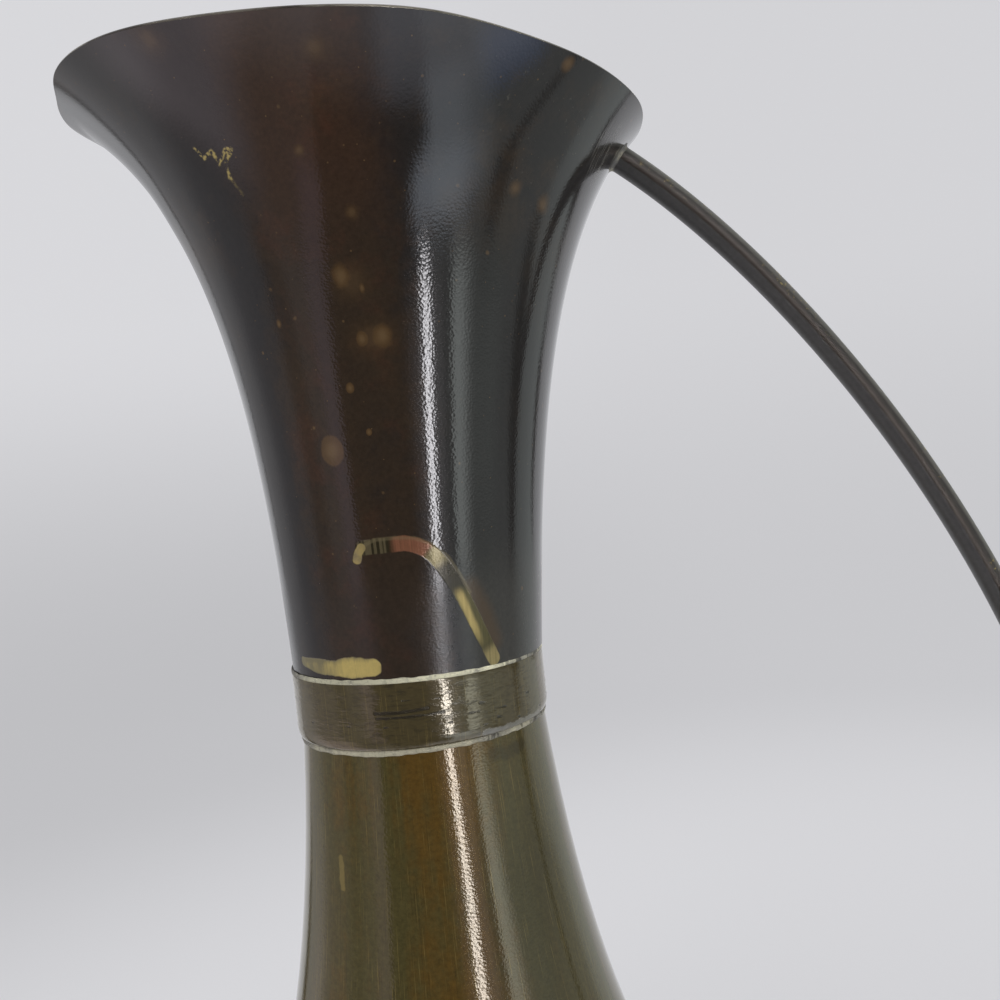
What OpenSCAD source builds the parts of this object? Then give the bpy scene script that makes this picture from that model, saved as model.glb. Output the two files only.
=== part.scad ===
// Tall sheet-brass ewer: a leaning trumpet neck over a pear-shaped body, joined under a plain
// collar, with one bent rod as its handle. The origin is the middle of the base's underside,
// +Z is up, the handle is on +X and the pouring lip on -X. Lengths are in millimetres.

/* [Body] */
// Height from the table to the underside of the collar
body_h = 208; // [185:1:235]
// Outer radius of the belly at its widest
belly_r = 86; // [76:1:96]
// Height of the belly's widest ring above the table
belly_z = 44; // [36:1:56]
// Outer radius where the wall stands on the base
base_r = 58; // [48:1:66]
// Sheet thickness of the body
body_wall = 1; // [0.8:0.1:1.5]
// Thickness of the base disc
base_t = 1.2; // [0.8:0.1:2]
// How far the body's spigot laps up into the neck
spigot_lap = 6; // [4:0.5:8]

/* [Collar] */
// Height of the collar band
collar_h = 16; // [12:0.5:20]
// Outer radius of the collar band
collar_r = 32; // [28:0.5:38]
// Step from the collar's face in to the body below it
collar_step = 1.1; // [0.9:0.1:1.6]

/* [Neck] */
// Height from the neck's foot to the middle of the rim
neck_h = 133; // [115:1:150]
// Outer radius of the trumpet at the middle of the rim
mouth_r = 70; // [62:0.5:78]
// Flare of the lip, in degrees from the neck's axis
lip_flare = 48; // [38:1:52]
// Slant of the rim, in degrees, with its high side at the pouring lip
rim_slant = 4.4; // [0:0.2:7]
// Lean of the neck towards the handle, in degrees
neck_lean = 2; // [0:0.2:3]
// Sheet thickness of the neck
neck_wall = 1; // [0.8:0.1:1.5]

/* [Handle] */
// Diameter of the rod
rod_d = 7; // [5:0.5:9]
// Distance from the axis to the rod's centre line at its widest
handle_reach = 172; // [155:1:190]
// Height of the rod's widest point above the table
handle_waist_z = 130; // [115:1:150]
// Height of the rod's seat below the middle of the rim
handle_drop = 10.5; // [9:0.5:16]

/* [Solder] */
// Height of the open seam between collar and neck, filled with solder
seam_h = 0.8; // [0.5:0.1:1.2]
// How far the upper seam's bead stands out past the collar
seam_bead = 0.4; // [0.2:0.1:0.8]
// Width of the fillet that runs out from the rod's ends
rod_fillet = 2.2; // [1.5:0.1:3]
// Height of the fillet under the collar
collar_fillet = 1.6; // [1:0.1:2.5]
// Width of the fillet between wall and base
base_fillet = 3; // [2:0.2:5]

/* [Hidden] */

// Running room between neighbours that solder fills
fit_gap = 0.15;
// Room between a solder bead and the wall that it is run on
bead_gap = 0.04;
// How far a cutting shape runs past what it cuts
overrun = 5;
// Chamfer on the collar's outer edges
collar_edge = 0.3;

// Angles of the sheet, in degrees from the axis, where it meets the collar and the base
shoulder_flare = 4;
foot_flare = 3.4;
base_flare = 62;

// Pull of each curve's inner control points, as shares of the curve's height or width
foot_pull_share = 0.53;
lip_pull_share = 0.255;
shoulder_pull_share = 0.85;
belly_pull_share = 0.19;
under_belly_pull_share = 0.55;
base_pull_share = 0.4;
handle_top_pull_share = 0.26;
handle_waist_pull_share = 0.41;
handle_low_pull_share = 0.55;
// How far a fillet's face hollows towards its corner
hollow_share = 0.55;

// Steps along a curve, round a turned piece and round a form that copes another piece
profile_steps = 28;
fillet_steps = 6;
handle_steps = 30;
rod_sides = 20;
turn_steps = 120;
form_steps = 720;

// Heights of the stacked pieces
collar_top = body_h + collar_h;
foot_z = collar_top + seam_h;
rim_z = foot_z + neck_h;
spigot_top = foot_z + spigot_lap;
lean_z = body_h + collar_h / 2;

// Radii that follow the collar: the neck's foot stands over it and the spigot passes through it
foot_r = collar_r - collar_edge / 2;
shoulder_r = collar_r - collar_step;
spigot_r = min(
    shoulder_r - fit_gap,
    foot_r - neck_wall - (spigot_top - lean_z) * tan(neck_lean) - fit_gap
);
collar_bore_r = spigot_r + fit_gap;
rod_r = rod_d / 2;

// A step of the given length at an angle from the axis, as radius and height
function stride(angle, length) = length * [sin(angle), cos(angle)];

// A point on a cubic curve, its direction there and the sheet's outward normal
function curve_point(c, t) =
    let (u = 1 - t)
    u * u * u * c[0] + 3 * u * u * t * c[1] + 3 * u * t * t * c[2] + t * t * t * c[3];
function curve_dir(c, t) =
    let (
        u = 1 - t,
        d = u * u * (c[1] - c[0]) + 2 * u * t * (c[2] - c[1]) + t * t * (c[3] - c[2])
    )
    d / norm(d);
function outward(c, t) =
    let (d = curve_dir(c, t))
    [d[1], -d[0]];

// The curve's points, moved out of the sheet by a distance
function skin(c, out, steps = profile_steps) =
    [for (i = [0 : steps]) curve_point(c, i / steps) + out * outward(c, i / steps)];

// The share along a rising curve at which it reaches a height
function share_at(c, z, low = 0, high = 1, rounds = 30) =
    let (middle = (low + high) / 2)
    rounds == 0 ? middle
    : curve_point(c, middle)[1] < z ? share_at(c, z, middle, high, rounds - 1)
    : share_at(c, z, low, middle, rounds - 1);

function backwards(list) = [for (i = [len(list) - 1 : -1 : 0]) list[i]];

// The hollow face of a fillet, from one foot to the other round a corner
function fillet_face(from, corner, to) =
    let (pull = corner + (1 - hollow_share) * ((from + to) / 2 - corner))
    [
        for (i = [0 : fillet_steps])
        let (
            t = i / fillet_steps,
            u = 1 - t
        )
        u * u * from + 2 * u * t * pull + t * t * to
    ];

// Outer curves of the sheet, rising, as radius and height
under_curve = [
    [base_r, base_t],
    [base_r, base_t] + stride(base_flare, (belly_z - base_t) * base_pull_share),
    [belly_r, belly_z - (belly_z - base_t) * under_belly_pull_share],
    [belly_r, belly_z]
];
body_curve = [
    [belly_r, belly_z],
    [belly_r, belly_z + (body_h - belly_z) * belly_pull_share],
    [shoulder_r, body_h] + stride(180 - shoulder_flare, (body_h - belly_z) * shoulder_pull_share),
    [shoulder_r, body_h]
];
neck_curve = [
    [foot_r, foot_z],
    [foot_r, foot_z] + stride(foot_flare, neck_h * foot_pull_share),
    [mouth_r, rim_z] - stride(lip_flare, neck_h * lip_pull_share),
    [mouth_r, rim_z]
];

// The lip runs on straight past the rim's middle as far as the slanted cut needs
lip_run = mouth_r * tan(rim_slant) / (cos(lip_flare) - sin(lip_flare) * tan(rim_slant)) + overrun;
lip_end = [mouth_r, rim_z] + stride(lip_flare, lip_run);
// The foot runs on below its level cut as far as the lean needs
foot_end_z = foot_z - foot_r * tan(neck_lean) - overrun;

// The neck's outline on one side of the sheet
function neck_skin(out) = concat(
    [[foot_r + out, foot_end_z]],
    skin(neck_curve, out),
    [lip_end + out * outward(neck_curve, 1)]
);

// The body's outline on one side of the sheet, from base to shoulder
function body_skin(out) = concat(
    [[base_r + out / cos(base_flare), base_t]],
    skin(under_curve, out),
    skin(body_curve, out)
);
body_inside = [for (p = body_skin(-body_wall)) if (p[1] < body_h - body_wall) p];

// A point of an upright outline, carried to where the leaning neck holds it
function leaned(p) = [
    p[0] * cos(neck_lean) + (p[1] - lean_z) * sin(neck_lean),
    lean_z + (p[1] - lean_z) * cos(neck_lean) - p[0] * sin(neck_lean)
];

// Seats of the rod's two ends on the outside of the sheet, and the way it leaves each
top_share = share_at(neck_curve, rim_z - handle_drop);
top_normal = outward(neck_curve, top_share);
top_angle = atan2(top_normal[1], top_normal[0]) - neck_lean;
top_way = [cos(top_angle), sin(top_angle)];
top_seat = leaned(curve_point(neck_curve, top_share)) + fit_gap * top_way;
low_way = [1, 0];
low_seat = [belly_r, belly_z] + fit_gap * low_way;

// The rod's centre line: out and down to its widest point, then round and back to the belly
waist = [handle_reach, handle_waist_z];
waist_drop = top_seat[1] - handle_waist_z;
low_drop = handle_waist_z - low_seat[1];
upper_bend = [
    top_seat,
    top_seat + waist_drop * handle_top_pull_share * top_way,
    waist + [0, waist_drop * handle_waist_pull_share],
    waist
];
lower_bend = [
    waist,
    waist - [0, low_drop * handle_low_pull_share],
    low_seat + (handle_reach - low_seat[0]) * handle_low_pull_share * low_way,
    low_seat
];

// One ring of the rod, square to its path
function rod_ring(c, t) =
    let (
        p = curve_point(c, t),
        side = outward(c, t)
    )
    [
        for (k = [0 : rod_sides - 1])
        let (
            a = 360 * k / rod_sides,
            q = p + rod_r * cos(a) * side
        )
        [q[0], rod_r * sin(a), q[1]]
    ];
rod_rings = concat(
    [for (i = [0 : handle_steps]) rod_ring(upper_bend, i / handle_steps)],
    [for (i = [1 : handle_steps]) rod_ring(lower_bend, i / handle_steps)]
);

// Two triangles between each pair of rings, and a fan over each end
function ring_corner(i, k) = i * rod_sides + k % rod_sides;
rod_last = len(rod_rings) - 1;
rod_faces = concat(
    [
        for (i = [0 : rod_last - 1])
        for (k = [0 : rod_sides - 1])
        each [
            [ring_corner(i, k), ring_corner(i + 1, k), ring_corner(i + 1, k + 1)],
            [ring_corner(i, k), ring_corner(i + 1, k + 1), ring_corner(i, k + 1)]
        ]
    ],
    [for (k = [1 : rod_sides - 2]) [ring_corner(0, 0), ring_corner(0, k), ring_corner(0, k + 1)]],
    [
        for (k = [1 : rod_sides - 2])
        [ring_corner(rod_last, 0), ring_corner(rod_last, k + 1), ring_corner(rod_last, k)]
    ]
);

module turned(outline, steps = turn_steps) {
    rotate_extrude($fn = steps)
        polygon(outline);
}

module lean() {
    translate([0, 0, lean_z])
        rotate([0, neck_lean, 0])
            translate([0, 0, -lean_z])
                children();
}

// The space that the sheet encloses, grown by a distance, for coping what is run on it
module neck_form(out) {
    lean()
        turned(concat([[0, foot_end_z]], neck_skin(out), [[0, lip_end[1]]]), form_steps);
}
module body_form(out) {
    turned(concat([[0, base_t]], body_skin(out), [[0, body_h]]), form_steps);
}

// Fillet run round the rod where it leaves a wall; its foot reaches past the wall to be coped
module rod_bead(seat, way) {
    bore_r = rod_r + fit_gap;
    sink = rod_fillet / 2;
    translate([seat[0], 0, seat[1]])
        rotate([0, 90 - atan2(way[1], way[0]), 0])
            turned(concat(
                [[bore_r, -sink], [bore_r + rod_fillet, -sink]],
                fillet_face([bore_r + rod_fillet, 0], [bore_r, 0], [bore_r, rod_fillet])
            ));
}

// Trumpet neck of one sheet: turned, leaning, cut level at its foot and on a slant at its rim
module neck_funnel() {
    color([0.19, 0.14, 0.12])
        difference() {
            lean()
                difference() {
                    turned(concat(neck_skin(0), backwards(neck_skin(-neck_wall))));
                    translate([0, 0, rim_z])
                        rotate([0, rim_slant, 0])
                            cylinder(r = lip_end[0] + overrun, h = lip_run + overrun, $fn = turn_steps);
                }
            translate([0, 0, foot_end_z - overrun])
                cylinder(r = collar_r + overrun, h = foot_z - foot_end_z + overrun, $fn = turn_steps);
        }
}

// Plain band round the spigot, standing on the body's shoulder
module collar_band() {
    color([0.45, 0.39, 0.23])
        turned([
            [collar_bore_r, body_h],
            [collar_r - collar_edge, body_h],
            [collar_r, body_h + collar_edge],
            [collar_r, collar_top - collar_edge],
            [collar_r - collar_edge, collar_top],
            [collar_bore_r, collar_top]
        ]);
}

// Pear-shaped body of one sheet, drawn in at the top to the spigot
module body_shell() {
    color([0.44, 0.33, 0.15])
        turned(concat(
            body_skin(0),
            [
                [spigot_r, body_h],
                [spigot_r, spigot_top],
                [spigot_r - body_wall, spigot_top],
                [spigot_r - body_wall, body_h - body_wall]
            ],
            backwards(body_inside)
        ));
}

// Flat disc that closes the body and stands on the table
module base_disc() {
    color([0.47, 0.38, 0.2])
        cylinder(r = base_r, h = base_t, $fn = turn_steps);
}

// Bent rod from below the rim to the belly
module handle_rod() {
    color([0.38, 0.34, 0.29])
        polyhedron([for (ring = rod_rings) each ring], rod_faces);
}

// Solder that fills the seam between collar and neck and swells out of it
module upper_seam_solder() {
    bead_r = collar_r - collar_edge;
    color([0.74, 0.73, 0.67])
        turned(concat(
            [[collar_bore_r, foot_z], [collar_bore_r, collar_top]],
            [
                for (i = [0 : fillet_steps])
                let (a = 180 * i / fillet_steps)
                [
                    bead_r + (collar_edge + seam_bead) * sin(a),
                    (collar_top + foot_z - seam_h * cos(a)) / 2
                ]
            ]
        ));
}

// Solder fillet under the collar, run on the body's wall
module lower_seam_solder() {
    wall_foot = [shoulder_r + bead_gap, body_h] + stride(180 - shoulder_flare, collar_fillet);
    color([0.74, 0.73, 0.67])
        turned(concat(
            [[shoulder_r + bead_gap, body_h]],
            fillet_face(
                wall_foot + [bead_gap, 0],
                [shoulder_r + bead_gap, body_h],
                [collar_r - collar_edge, body_h]
            )
        ));
}

// Solder fillet inside, between the wall and the base disc
module base_seam_solder() {
    corner = [base_r - body_wall / cos(base_flare) - bead_gap, base_t];
    color([0.74, 0.73, 0.67])
        turned(concat(
            [corner],
            fillet_face(corner + stride(base_flare, base_fillet), corner, corner - [base_fillet, 0])
        ));
}

// Solder fillet round the rod's top end, coped to the neck
module handle_top_solder() {
    color([0.66, 0.65, 0.61])
        difference() {
            rod_bead(top_seat, top_way);
            neck_form(bead_gap);
        }
}

// Solder fillet round the rod's lower end, coped to the belly
module handle_bottom_solder() {
    color([0.66, 0.65, 0.61])
        difference() {
            rod_bead(low_seat, low_way);
            body_form(bead_gap);
        }
}

neck_funnel();
collar_band();
body_shell();
base_disc();
handle_rod();
upper_seam_solder();
lower_seam_solder();
base_seam_solder();
handle_top_solder();
handle_bottom_solder();
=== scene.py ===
"""Looks of a tall sheet-brass ewer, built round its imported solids.

Every piece is a finer mesh of the solid that it stands for: a leaning trumpet neck, a collar, a pear-shaped
body, a base disc, a bent rod handle and the solder that joins them. Lengths are in metres, +Z is up, the
handle is on +X and the pouring lip on -X.
"""

import math
from collections import namedtuple

import bmesh
import bpy
import numpy as np
from mathutils import Matrix, Vector, noise
from mathutils.bvhtree import BVHTree


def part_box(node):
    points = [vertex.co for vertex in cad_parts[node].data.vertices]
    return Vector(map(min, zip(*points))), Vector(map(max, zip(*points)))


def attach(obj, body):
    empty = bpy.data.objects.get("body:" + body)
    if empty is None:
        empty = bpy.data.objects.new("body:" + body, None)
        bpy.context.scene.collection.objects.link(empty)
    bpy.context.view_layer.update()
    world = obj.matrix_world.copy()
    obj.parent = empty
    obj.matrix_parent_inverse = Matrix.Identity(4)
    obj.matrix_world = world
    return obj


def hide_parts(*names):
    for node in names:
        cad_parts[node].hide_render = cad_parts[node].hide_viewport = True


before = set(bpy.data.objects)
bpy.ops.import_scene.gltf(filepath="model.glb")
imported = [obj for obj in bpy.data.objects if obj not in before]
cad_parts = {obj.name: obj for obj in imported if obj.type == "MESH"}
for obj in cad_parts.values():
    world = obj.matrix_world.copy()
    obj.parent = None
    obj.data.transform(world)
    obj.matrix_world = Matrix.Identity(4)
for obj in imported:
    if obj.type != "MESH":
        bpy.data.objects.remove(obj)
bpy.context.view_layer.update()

bl_info = {
    "name": "Brass ewer",
    "version": (1, 0, 0),
    "blender": (4, 5, 0),
    "location": "3D View > Sidebar > Ewer",
    "description": "Builds the pieces, finishes and stage of a tall sheet-brass ewer",
    "category": "Object",
}

BODY = "root"
MM = 0.001

# Boxes of the solids, which give most of the sizes
COLLAR_LOW, COLLAR_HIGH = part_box("collar_band")
_, BASE_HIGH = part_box("base_disc")
_, WALL_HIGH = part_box("body_shell")
NECK_LOW, NECK_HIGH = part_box("neck_funnel")
_, ROD_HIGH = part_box("handle_rod")
LOW_SEAT_LOW, LOW_SEAT_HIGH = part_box("handle_bottom_solder")

# Angles of the sheet, from the axis, where it meets the collar and the base
SHOULDER_FLARE = math.radians(4)
FOOT_FLARE = math.radians(3.4)
BASE_FLARE = math.radians(62)

# Pull of each curve's inner control points, as shares of the curve's height or width
FOOT_PULL_SHARE = 0.53
LIP_PULL_SHARE = 0.255
SHOULDER_PULL_SHARE = 0.85
BELLY_PULL_SHARE = 0.19
UNDER_BELLY_PULL_SHARE = 0.55
BASE_PULL_SHARE = 0.4
HANDLE_TOP_PULL_SHARE = 0.26
HANDLE_WAIST_PULL_SHARE = 0.41
HANDLE_LOW_PULL_SHARE = 0.55

# How much thinner the polished rod is than its solid, and how much nearer its widest point lies
ROD_TRIM = 0.15 * MM
REACH_TRIM = 0.9 * MM

# Rounding of the base disc's edges, as a share of its thickness
BASE_EDGE_SHARE = 0.25

# Steps along and round the meshes
TURN_STEPS = 288
SEAM_TURN_STEPS = 480
BASE_TURN_STEPS = 144
BEAD_TURN_STEPS = 96
SWEEP_TURN_STEPS = 96
ROOM_TURN_STEPS = 64
ROOM_RINGS = 32
SKIN_STEPS = 72
NECK_STEPS = 110
COLLAR_STEPS = 12
BASE_STEPS = 10
ROD_STEPS = 90
ROD_SIDES = 32
ROUND_STEPS = 5
SEAM_STEPS = 12
FILLET_STEPS = 8
SEAT_STEPS = 4000
BISECT_ROUNDS = 40

# Points closer than this are one point, and an edge sharper than this is a crease
SAME_POINT = 1e-7
CREASE = math.radians(50)

# Side of the square picture, in pixels
PICTURE_SIDE = 1000


def measure(name, description, default):
    """A length property, in metres."""
    return bpy.props.FloatProperty(
        name=name, description=description, default=default, min=0, precision=4,
        subtype="DISTANCE", unit="LENGTH"
    )


def position(name, description, default):
    """A point property, in metres."""
    return bpy.props.FloatVectorProperty(
        name=name, description=description, default=default, size=3, subtype="TRANSLATION", unit="LENGTH"
    )


def angle(name, description, degrees):
    """An angle property, given in degrees."""
    return bpy.props.FloatProperty(
        name=name, description=description, default=math.radians(degrees), subtype="ANGLE", unit="ROTATION"
    )


def colour(name, description, default):
    """A linear colour property."""
    return bpy.props.FloatVectorProperty(
        name=name, description=description, default=default, size=3, min=0, max=1, subtype="COLOR"
    )


class EwerSizes(bpy.types.PropertyGroup):
    """Sizes of the ewer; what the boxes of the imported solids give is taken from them"""

    body_height: measure("Body height", "Table to the underside of the collar", COLLAR_LOW.z)
    belly_radius: measure("Belly radius", "Outer radius at the widest ring", WALL_HIGH.y)
    belly_height: measure(
        "Belly height", "Height of the widest ring", (LOW_SEAT_LOW.z + LOW_SEAT_HIGH.z) / 2
    )
    base_radius: measure("Base radius", "Radius of the base disc", BASE_HIGH.y)
    base_thickness: measure("Base thickness", "Thickness of the base disc", BASE_HIGH.z)
    sheet: measure("Sheet", "Thickness of the neck's and body's sheet", 1.0 * MM)
    collar_radius: measure("Collar radius", "Outer radius of the collar band", COLLAR_HIGH.y)
    collar_height: measure("Collar height", "Height of the collar band", COLLAR_HIGH.z - COLLAR_LOW.z)
    collar_step: measure("Collar step", "Step from the collar in to the body", 1.1 * MM)
    collar_edge: measure("Collar edge", "Rounding of the collar's upper edge", 0.3 * MM)
    collar_slant: measure(
        "Collar slant", "How far the collar's upper edge falls towards the handle", 1.0 * MM
    )
    roll_height: measure("Roll height", "Height of the collar's rolled lower edge", 2.6 * MM)
    roll_depth: measure("Roll depth", "Depth of the collar's rolled lower edge", 0.95 * MM)
    spigot_top: measure("Spigot top", "Height of the body's spigot inside the neck", WALL_HIGH.z)
    fit_gap: measure("Fit gap", "Room between neighbours that solder fills", 0.15 * MM)
    neck_foot: measure("Neck foot", "Height of the neck's lower edge", NECK_LOW.z)
    neck_height: measure("Neck height", "Foot to the middle of the rim", 133 * MM)
    mouth_radius: measure("Mouth radius", "Outer radius at the middle of the rim", 70 * MM)
    lip_flare: angle("Lip flare", "Flare of the lip from the neck's axis", 48)
    rim_slant: angle("Rim slant", "Slant of the rim, high at the pouring lip", 4.4)
    neck_lean: angle("Neck lean", "Lean of the neck towards the handle", 2)
    rod_radius: measure("Rod radius", "Radius of the handle's polished rod", ROD_HIGH.y - ROD_TRIM)
    handle_reach: measure(
        "Handle reach", "Axis to the rod's centre at its widest", ROD_HIGH.x - ROD_HIGH.y - REACH_TRIM
    )
    waist_height: measure("Handle waist", "Height of the rod's widest point", 130 * MM)
    handle_drop: measure("Handle drop", "Rod's seat below the middle of the rim", 11.6 * MM)
    rod_fillet: measure("Rod fillet", "Width of the solder round the rod's ends", 0.9 * MM)
    base_fillet: measure("Base fillet", "Width of the solder inside the base", 3 * MM)
    seam_height: measure("Seam height", "Height of the solder above the collar", 1.2 * MM)
    seam_bead: measure("Seam bead", "How far the collar's solder stands out", 0.22 * MM)
    collar_fillet: measure("Collar fillet", "Height of the solder under the collar", 1.5 * MM)


class EwerColours(bpy.types.PropertyGroup):
    """Colours of the finishes"""

    patina_dark: colour("Dark patina", "Deepest brown of the neck", (0.0175, 0.0155, 0.0145))
    patina_warm: colour("Warm patina", "Redder brown in the neck's clouds", (0.031, 0.0205, 0.013))
    patina_rust: colour("Rust patina", "Brown bloom in the warm patina", (0.055, 0.024, 0.014))
    patina_haze: colour("Hazy patina", "Dulled patina above the collar", (0.075, 0.07, 0.058))
    rim_edge: colour("Rim edge", "Bare cut edge of the rim", (0.2, 0.18, 0.14))
    worn_brown: colour("Rubbed brown", "Thin patina at the rubbed spots", (0.082, 0.047, 0.02))
    worn_light: colour(
        "Rubbed light", "Thinnest patina in the middle of the rubbed spots", (0.13, 0.082, 0.04)
    )
    worn_brass: colour("Worn brass", "Bare brass above the collar", (0.5, 0.39, 0.13))
    worn_olive: colour("Worn olive", "Duller brass above the collar", (0.19, 0.165, 0.085))
    stroke_gold: colour("Stroke gold", "Brightest brass in the long rubbed stroke", (0.42, 0.32, 0.115))
    stroke_dim: colour(
        "Stroke dull gold", "Duller brass before the stroke's dark stretch", (0.16, 0.13, 0.052)
    )
    stroke_olive: colour("Stroke olive", "Olive stretch of the long rubbed stroke", (0.09, 0.076, 0.026))
    stroke_end: colour("Stroke end", "Brighter end of the long rubbed stroke", (0.2935, 0.23475, 0.0985))
    stroke_pale: colour("Stroke edge", "Pale edge and tip of the long rubbed stroke", (0.21, 0.17, 0.092))
    stroke_dark: colour("Stroke dark", "Dark stretches of the long rubbed stroke", (0.03, 0.024, 0.011))
    worn_copper: colour("Worn copper", "Reddened brass in the long rubbed stroke", (0.23, 0.095, 0.052))
    inside_brass: colour("Inside", "Dull tarnished brass inside the vessel", (0.16, 0.11, 0.05))
    collar_olive: colour("Collar brass", "Olive brass of the collar", (0.078, 0.061, 0.028))
    collar_dark: colour("Collar tarnish", "Dark brush marks on the collar", (0.026, 0.02, 0.01))
    body_olive: colour("Body olive", "Olive bronze of the body", (0.069, 0.057, 0.02))
    body_amber: colour("Body amber", "Amber clouds on the body", (0.1, 0.056, 0.0115))
    hair_brass: colour("Hair scratches", "Bright brass in the body's fine scratches", (0.3, 0.22, 0.07))
    base_brass: colour("Base brass", "Tarnished brass of the base", (0.24, 0.18, 0.08))
    rod_grey: colour("Rod", "Grey-brown tarnish of the rod", (0.09, 0.088, 0.087))
    # Painted highlight along the top of the rod
    rod_painted_highlight: colour("Rod painted highlight", "Painted highlight along the top of the rod", (0.165, 0.155, 0.138))
    rod_dark: colour("Rod band", "Darker band along the rod, set by which way it faces", (0.034, 0.025, 0.018))
    # Painted shade on the side of the rod that faces the vessel
    rod_painted_shade: colour("Rod painted shade", "Painted shade on the side of the rod towards the vessel", (0.012, 0.011, 0.01))
    solder_pale: colour("Pale solder", "Cream crust of the solder", (0.47, 0.45, 0.33))
    solder_dull: colour("Dull solder", "Beige crust under the collar", (0.45, 0.42, 0.31))
    solder_grey: colour("Grey solder", "Dull grey solder", (0.2, 0.19, 0.165))
    solder_dark: colour("Filed solder", "Darkened, filed solder at the rod's ends", (0.12, 0.117, 0.11))
    floor_pale: colour("Floor", "Pale floor and backdrop", (0.855, 0.855, 0.885))


class EwerStage(bpy.types.PropertyGroup):
    """Camera and light"""

    camera_place: position("Camera place", "Where the camera stands", (0.0253, -0.2563, 0.2706))
    camera_pitch: angle("Camera pitch", "Tilt of the camera above level", -2.139)
    camera_roll: angle("Camera roll", "Turn of the camera about its view", 6.156)
    lens: bpy.props.FloatProperty(
        name="Lens", description="Focal length on a 36 mm sensor, in millimetres", default=36.04, min=10
    )
    sensor: bpy.props.FloatProperty(
        name="Sensor", description="Width of the sensor, in millimetres", default=36, min=10
    )
    room_light: bpy.props.FloatProperty(
        name="Room light", description="Even light from all round", default=0.8, min=0
    )
    key_power: bpy.props.FloatProperty(
        name="Key light", description="Power of the soft key light", default=2.0, min=0, subtype="POWER",
        unit="POWER"
    )
    key_size: measure("Key size", "Side of the square key light", 1.2)
    key_place: position("Key place", "Where the key light stands", (-0.7, -0.6, 1.3))
    key_aim: position("Key aim", "The point that the key light faces", (0, 0, 0.1))
    sweep_radius: measure("Sweep radius", "Radius of the backdrop's wall", 2.4)
    sweep_height: measure("Sweep height", "Height of the backdrop's wall", 3.2)
    tent_radius: measure("Tent radius", "Radius of the room that the metal mirrors", 1.6)


# Curves of the sheet, as radius and height

def stride(turn, length):
    """A step of the given length at an angle from the axis, as radius and height."""
    return length * np.array([math.sin(turn), math.cos(turn)])


def along(curve, share):
    """Points on a cubic curve."""
    t = np.asarray(share, float)[..., None]
    u = 1 - t
    return u**3 * curve[0] + 3 * u * u * t * curve[1] + 3 * u * t * t * curve[2] + t**3 * curve[3]


def outward(curve, share):
    """Outward normals of the sheet on a cubic curve."""
    t = np.asarray(share, float)[..., None]
    u = 1 - t
    way = u * u * (curve[1] - curve[0]) + 2 * u * t * (curve[2] - curve[1]) + t * t * (curve[3] - curve[2])
    way = way / np.linalg.norm(way, axis=-1, keepdims=True)
    return np.stack([way[..., 1], -way[..., 0]], -1)


def neck_curve(size):
    """Outer curve of the neck, from its foot to its rim."""
    foot = np.array([size.collar_radius - size.collar_edge / 2, size.neck_foot])
    rim = np.array([size.mouth_radius, size.neck_foot + size.neck_height])
    return [
        foot,
        foot + stride(FOOT_FLARE, size.neck_height * FOOT_PULL_SHARE),
        rim - stride(size.lip_flare, size.neck_height * LIP_PULL_SHARE),
        rim,
    ]


def body_curves(size):
    """Outer curves of the body: from the base out to the belly, and from there up to the collar."""
    base = np.array([size.base_radius, size.base_thickness])
    belly = np.array([size.belly_radius, size.belly_height])
    shoulder = np.array([size.collar_radius - size.collar_step, size.body_height])
    under = size.belly_height - size.base_thickness
    over = size.body_height - size.belly_height
    lower = [
        base,
        base + stride(BASE_FLARE, under * BASE_PULL_SHARE),
        belly - np.array([0, under * UNDER_BELLY_PULL_SHARE]),
        belly,
    ]
    upper = [
        belly,
        belly + np.array([0, over * BELLY_PULL_SHARE]),
        shoulder + stride(math.pi - SHOULDER_FLARE, over * SHOULDER_PULL_SHARE),
        shoulder,
    ]
    return lower, upper


def lean_height(size):
    """Height of the point that the neck leans about, halfway up the collar."""
    return size.body_height + size.collar_height / 2


def leaned(size, points):
    """Points of an upright neck, carried to where the leaning one holds them."""
    x, y, z = np.moveaxis(np.asarray(points, float), -1, 0)
    c, s = math.cos(size.neck_lean), math.sin(size.neck_lean)
    z = z - lean_height(size)
    return np.stack([x * c + z * s, y, lean_height(size) + z * c - x * s], -1)


def collar_fall(size, angles):
    """How far the collar's upper edge lies below its highest point, round the axis."""
    return size.collar_slant * (1 + np.cos(angles)) / 2


def turns(steps=TURN_STEPS):
    """Angles of the columns round a turned piece."""
    return np.arange(steps) * (2 * math.pi / steps)


def arc(start, end, step):
    """Angles along an arc, from degrees."""
    return [math.radians(a) for a in range(start, end + 1, step)]


def turned(radius, height, angles):
    """Points round the axis at the given radii and heights."""
    return np.stack([radius * np.cos(angles), radius * np.sin(angles), height + 0 * angles], -1)


def crossing(level, low, high):
    """The share at which a rising level passes zero, for each column."""
    for _ in range(BISECT_ROUNDS):
        middle = (low + high) / 2
        below = level(middle) < 0
        low = np.where(below, middle, low)
        high = np.where(below, high, middle)
    return (low + high) / 2


def lumps(angles, seed, grain):
    """Uneven values from -1 to 1 round a ring, the same on every run."""
    return np.array([
        noise.noise(Vector((grain * math.cos(a), grain * math.sin(a), seed))) for a in angles
    ])


# Meshes and pieces

def grid_mesh(name, rows, looped):
    """A smooth mesh over rows of points that run round; a looped one joins its last row to its first."""
    rows = np.asarray(rows, float)
    count, columns = rows.shape[:2]
    faces = []
    for i in range(count if looped else count - 1):
        here, there = i * columns, (i + 1) % count * columns
        for j in range(columns):
            k = (j + 1) % columns
            faces.append((here + j, here + k, there + k, there + j))
    mesh = bpy.data.meshes.new(name)
    mesh.from_pydata(rows.reshape(-1, 3).tolist(), [], faces)
    smooth(mesh)
    return mesh


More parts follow.
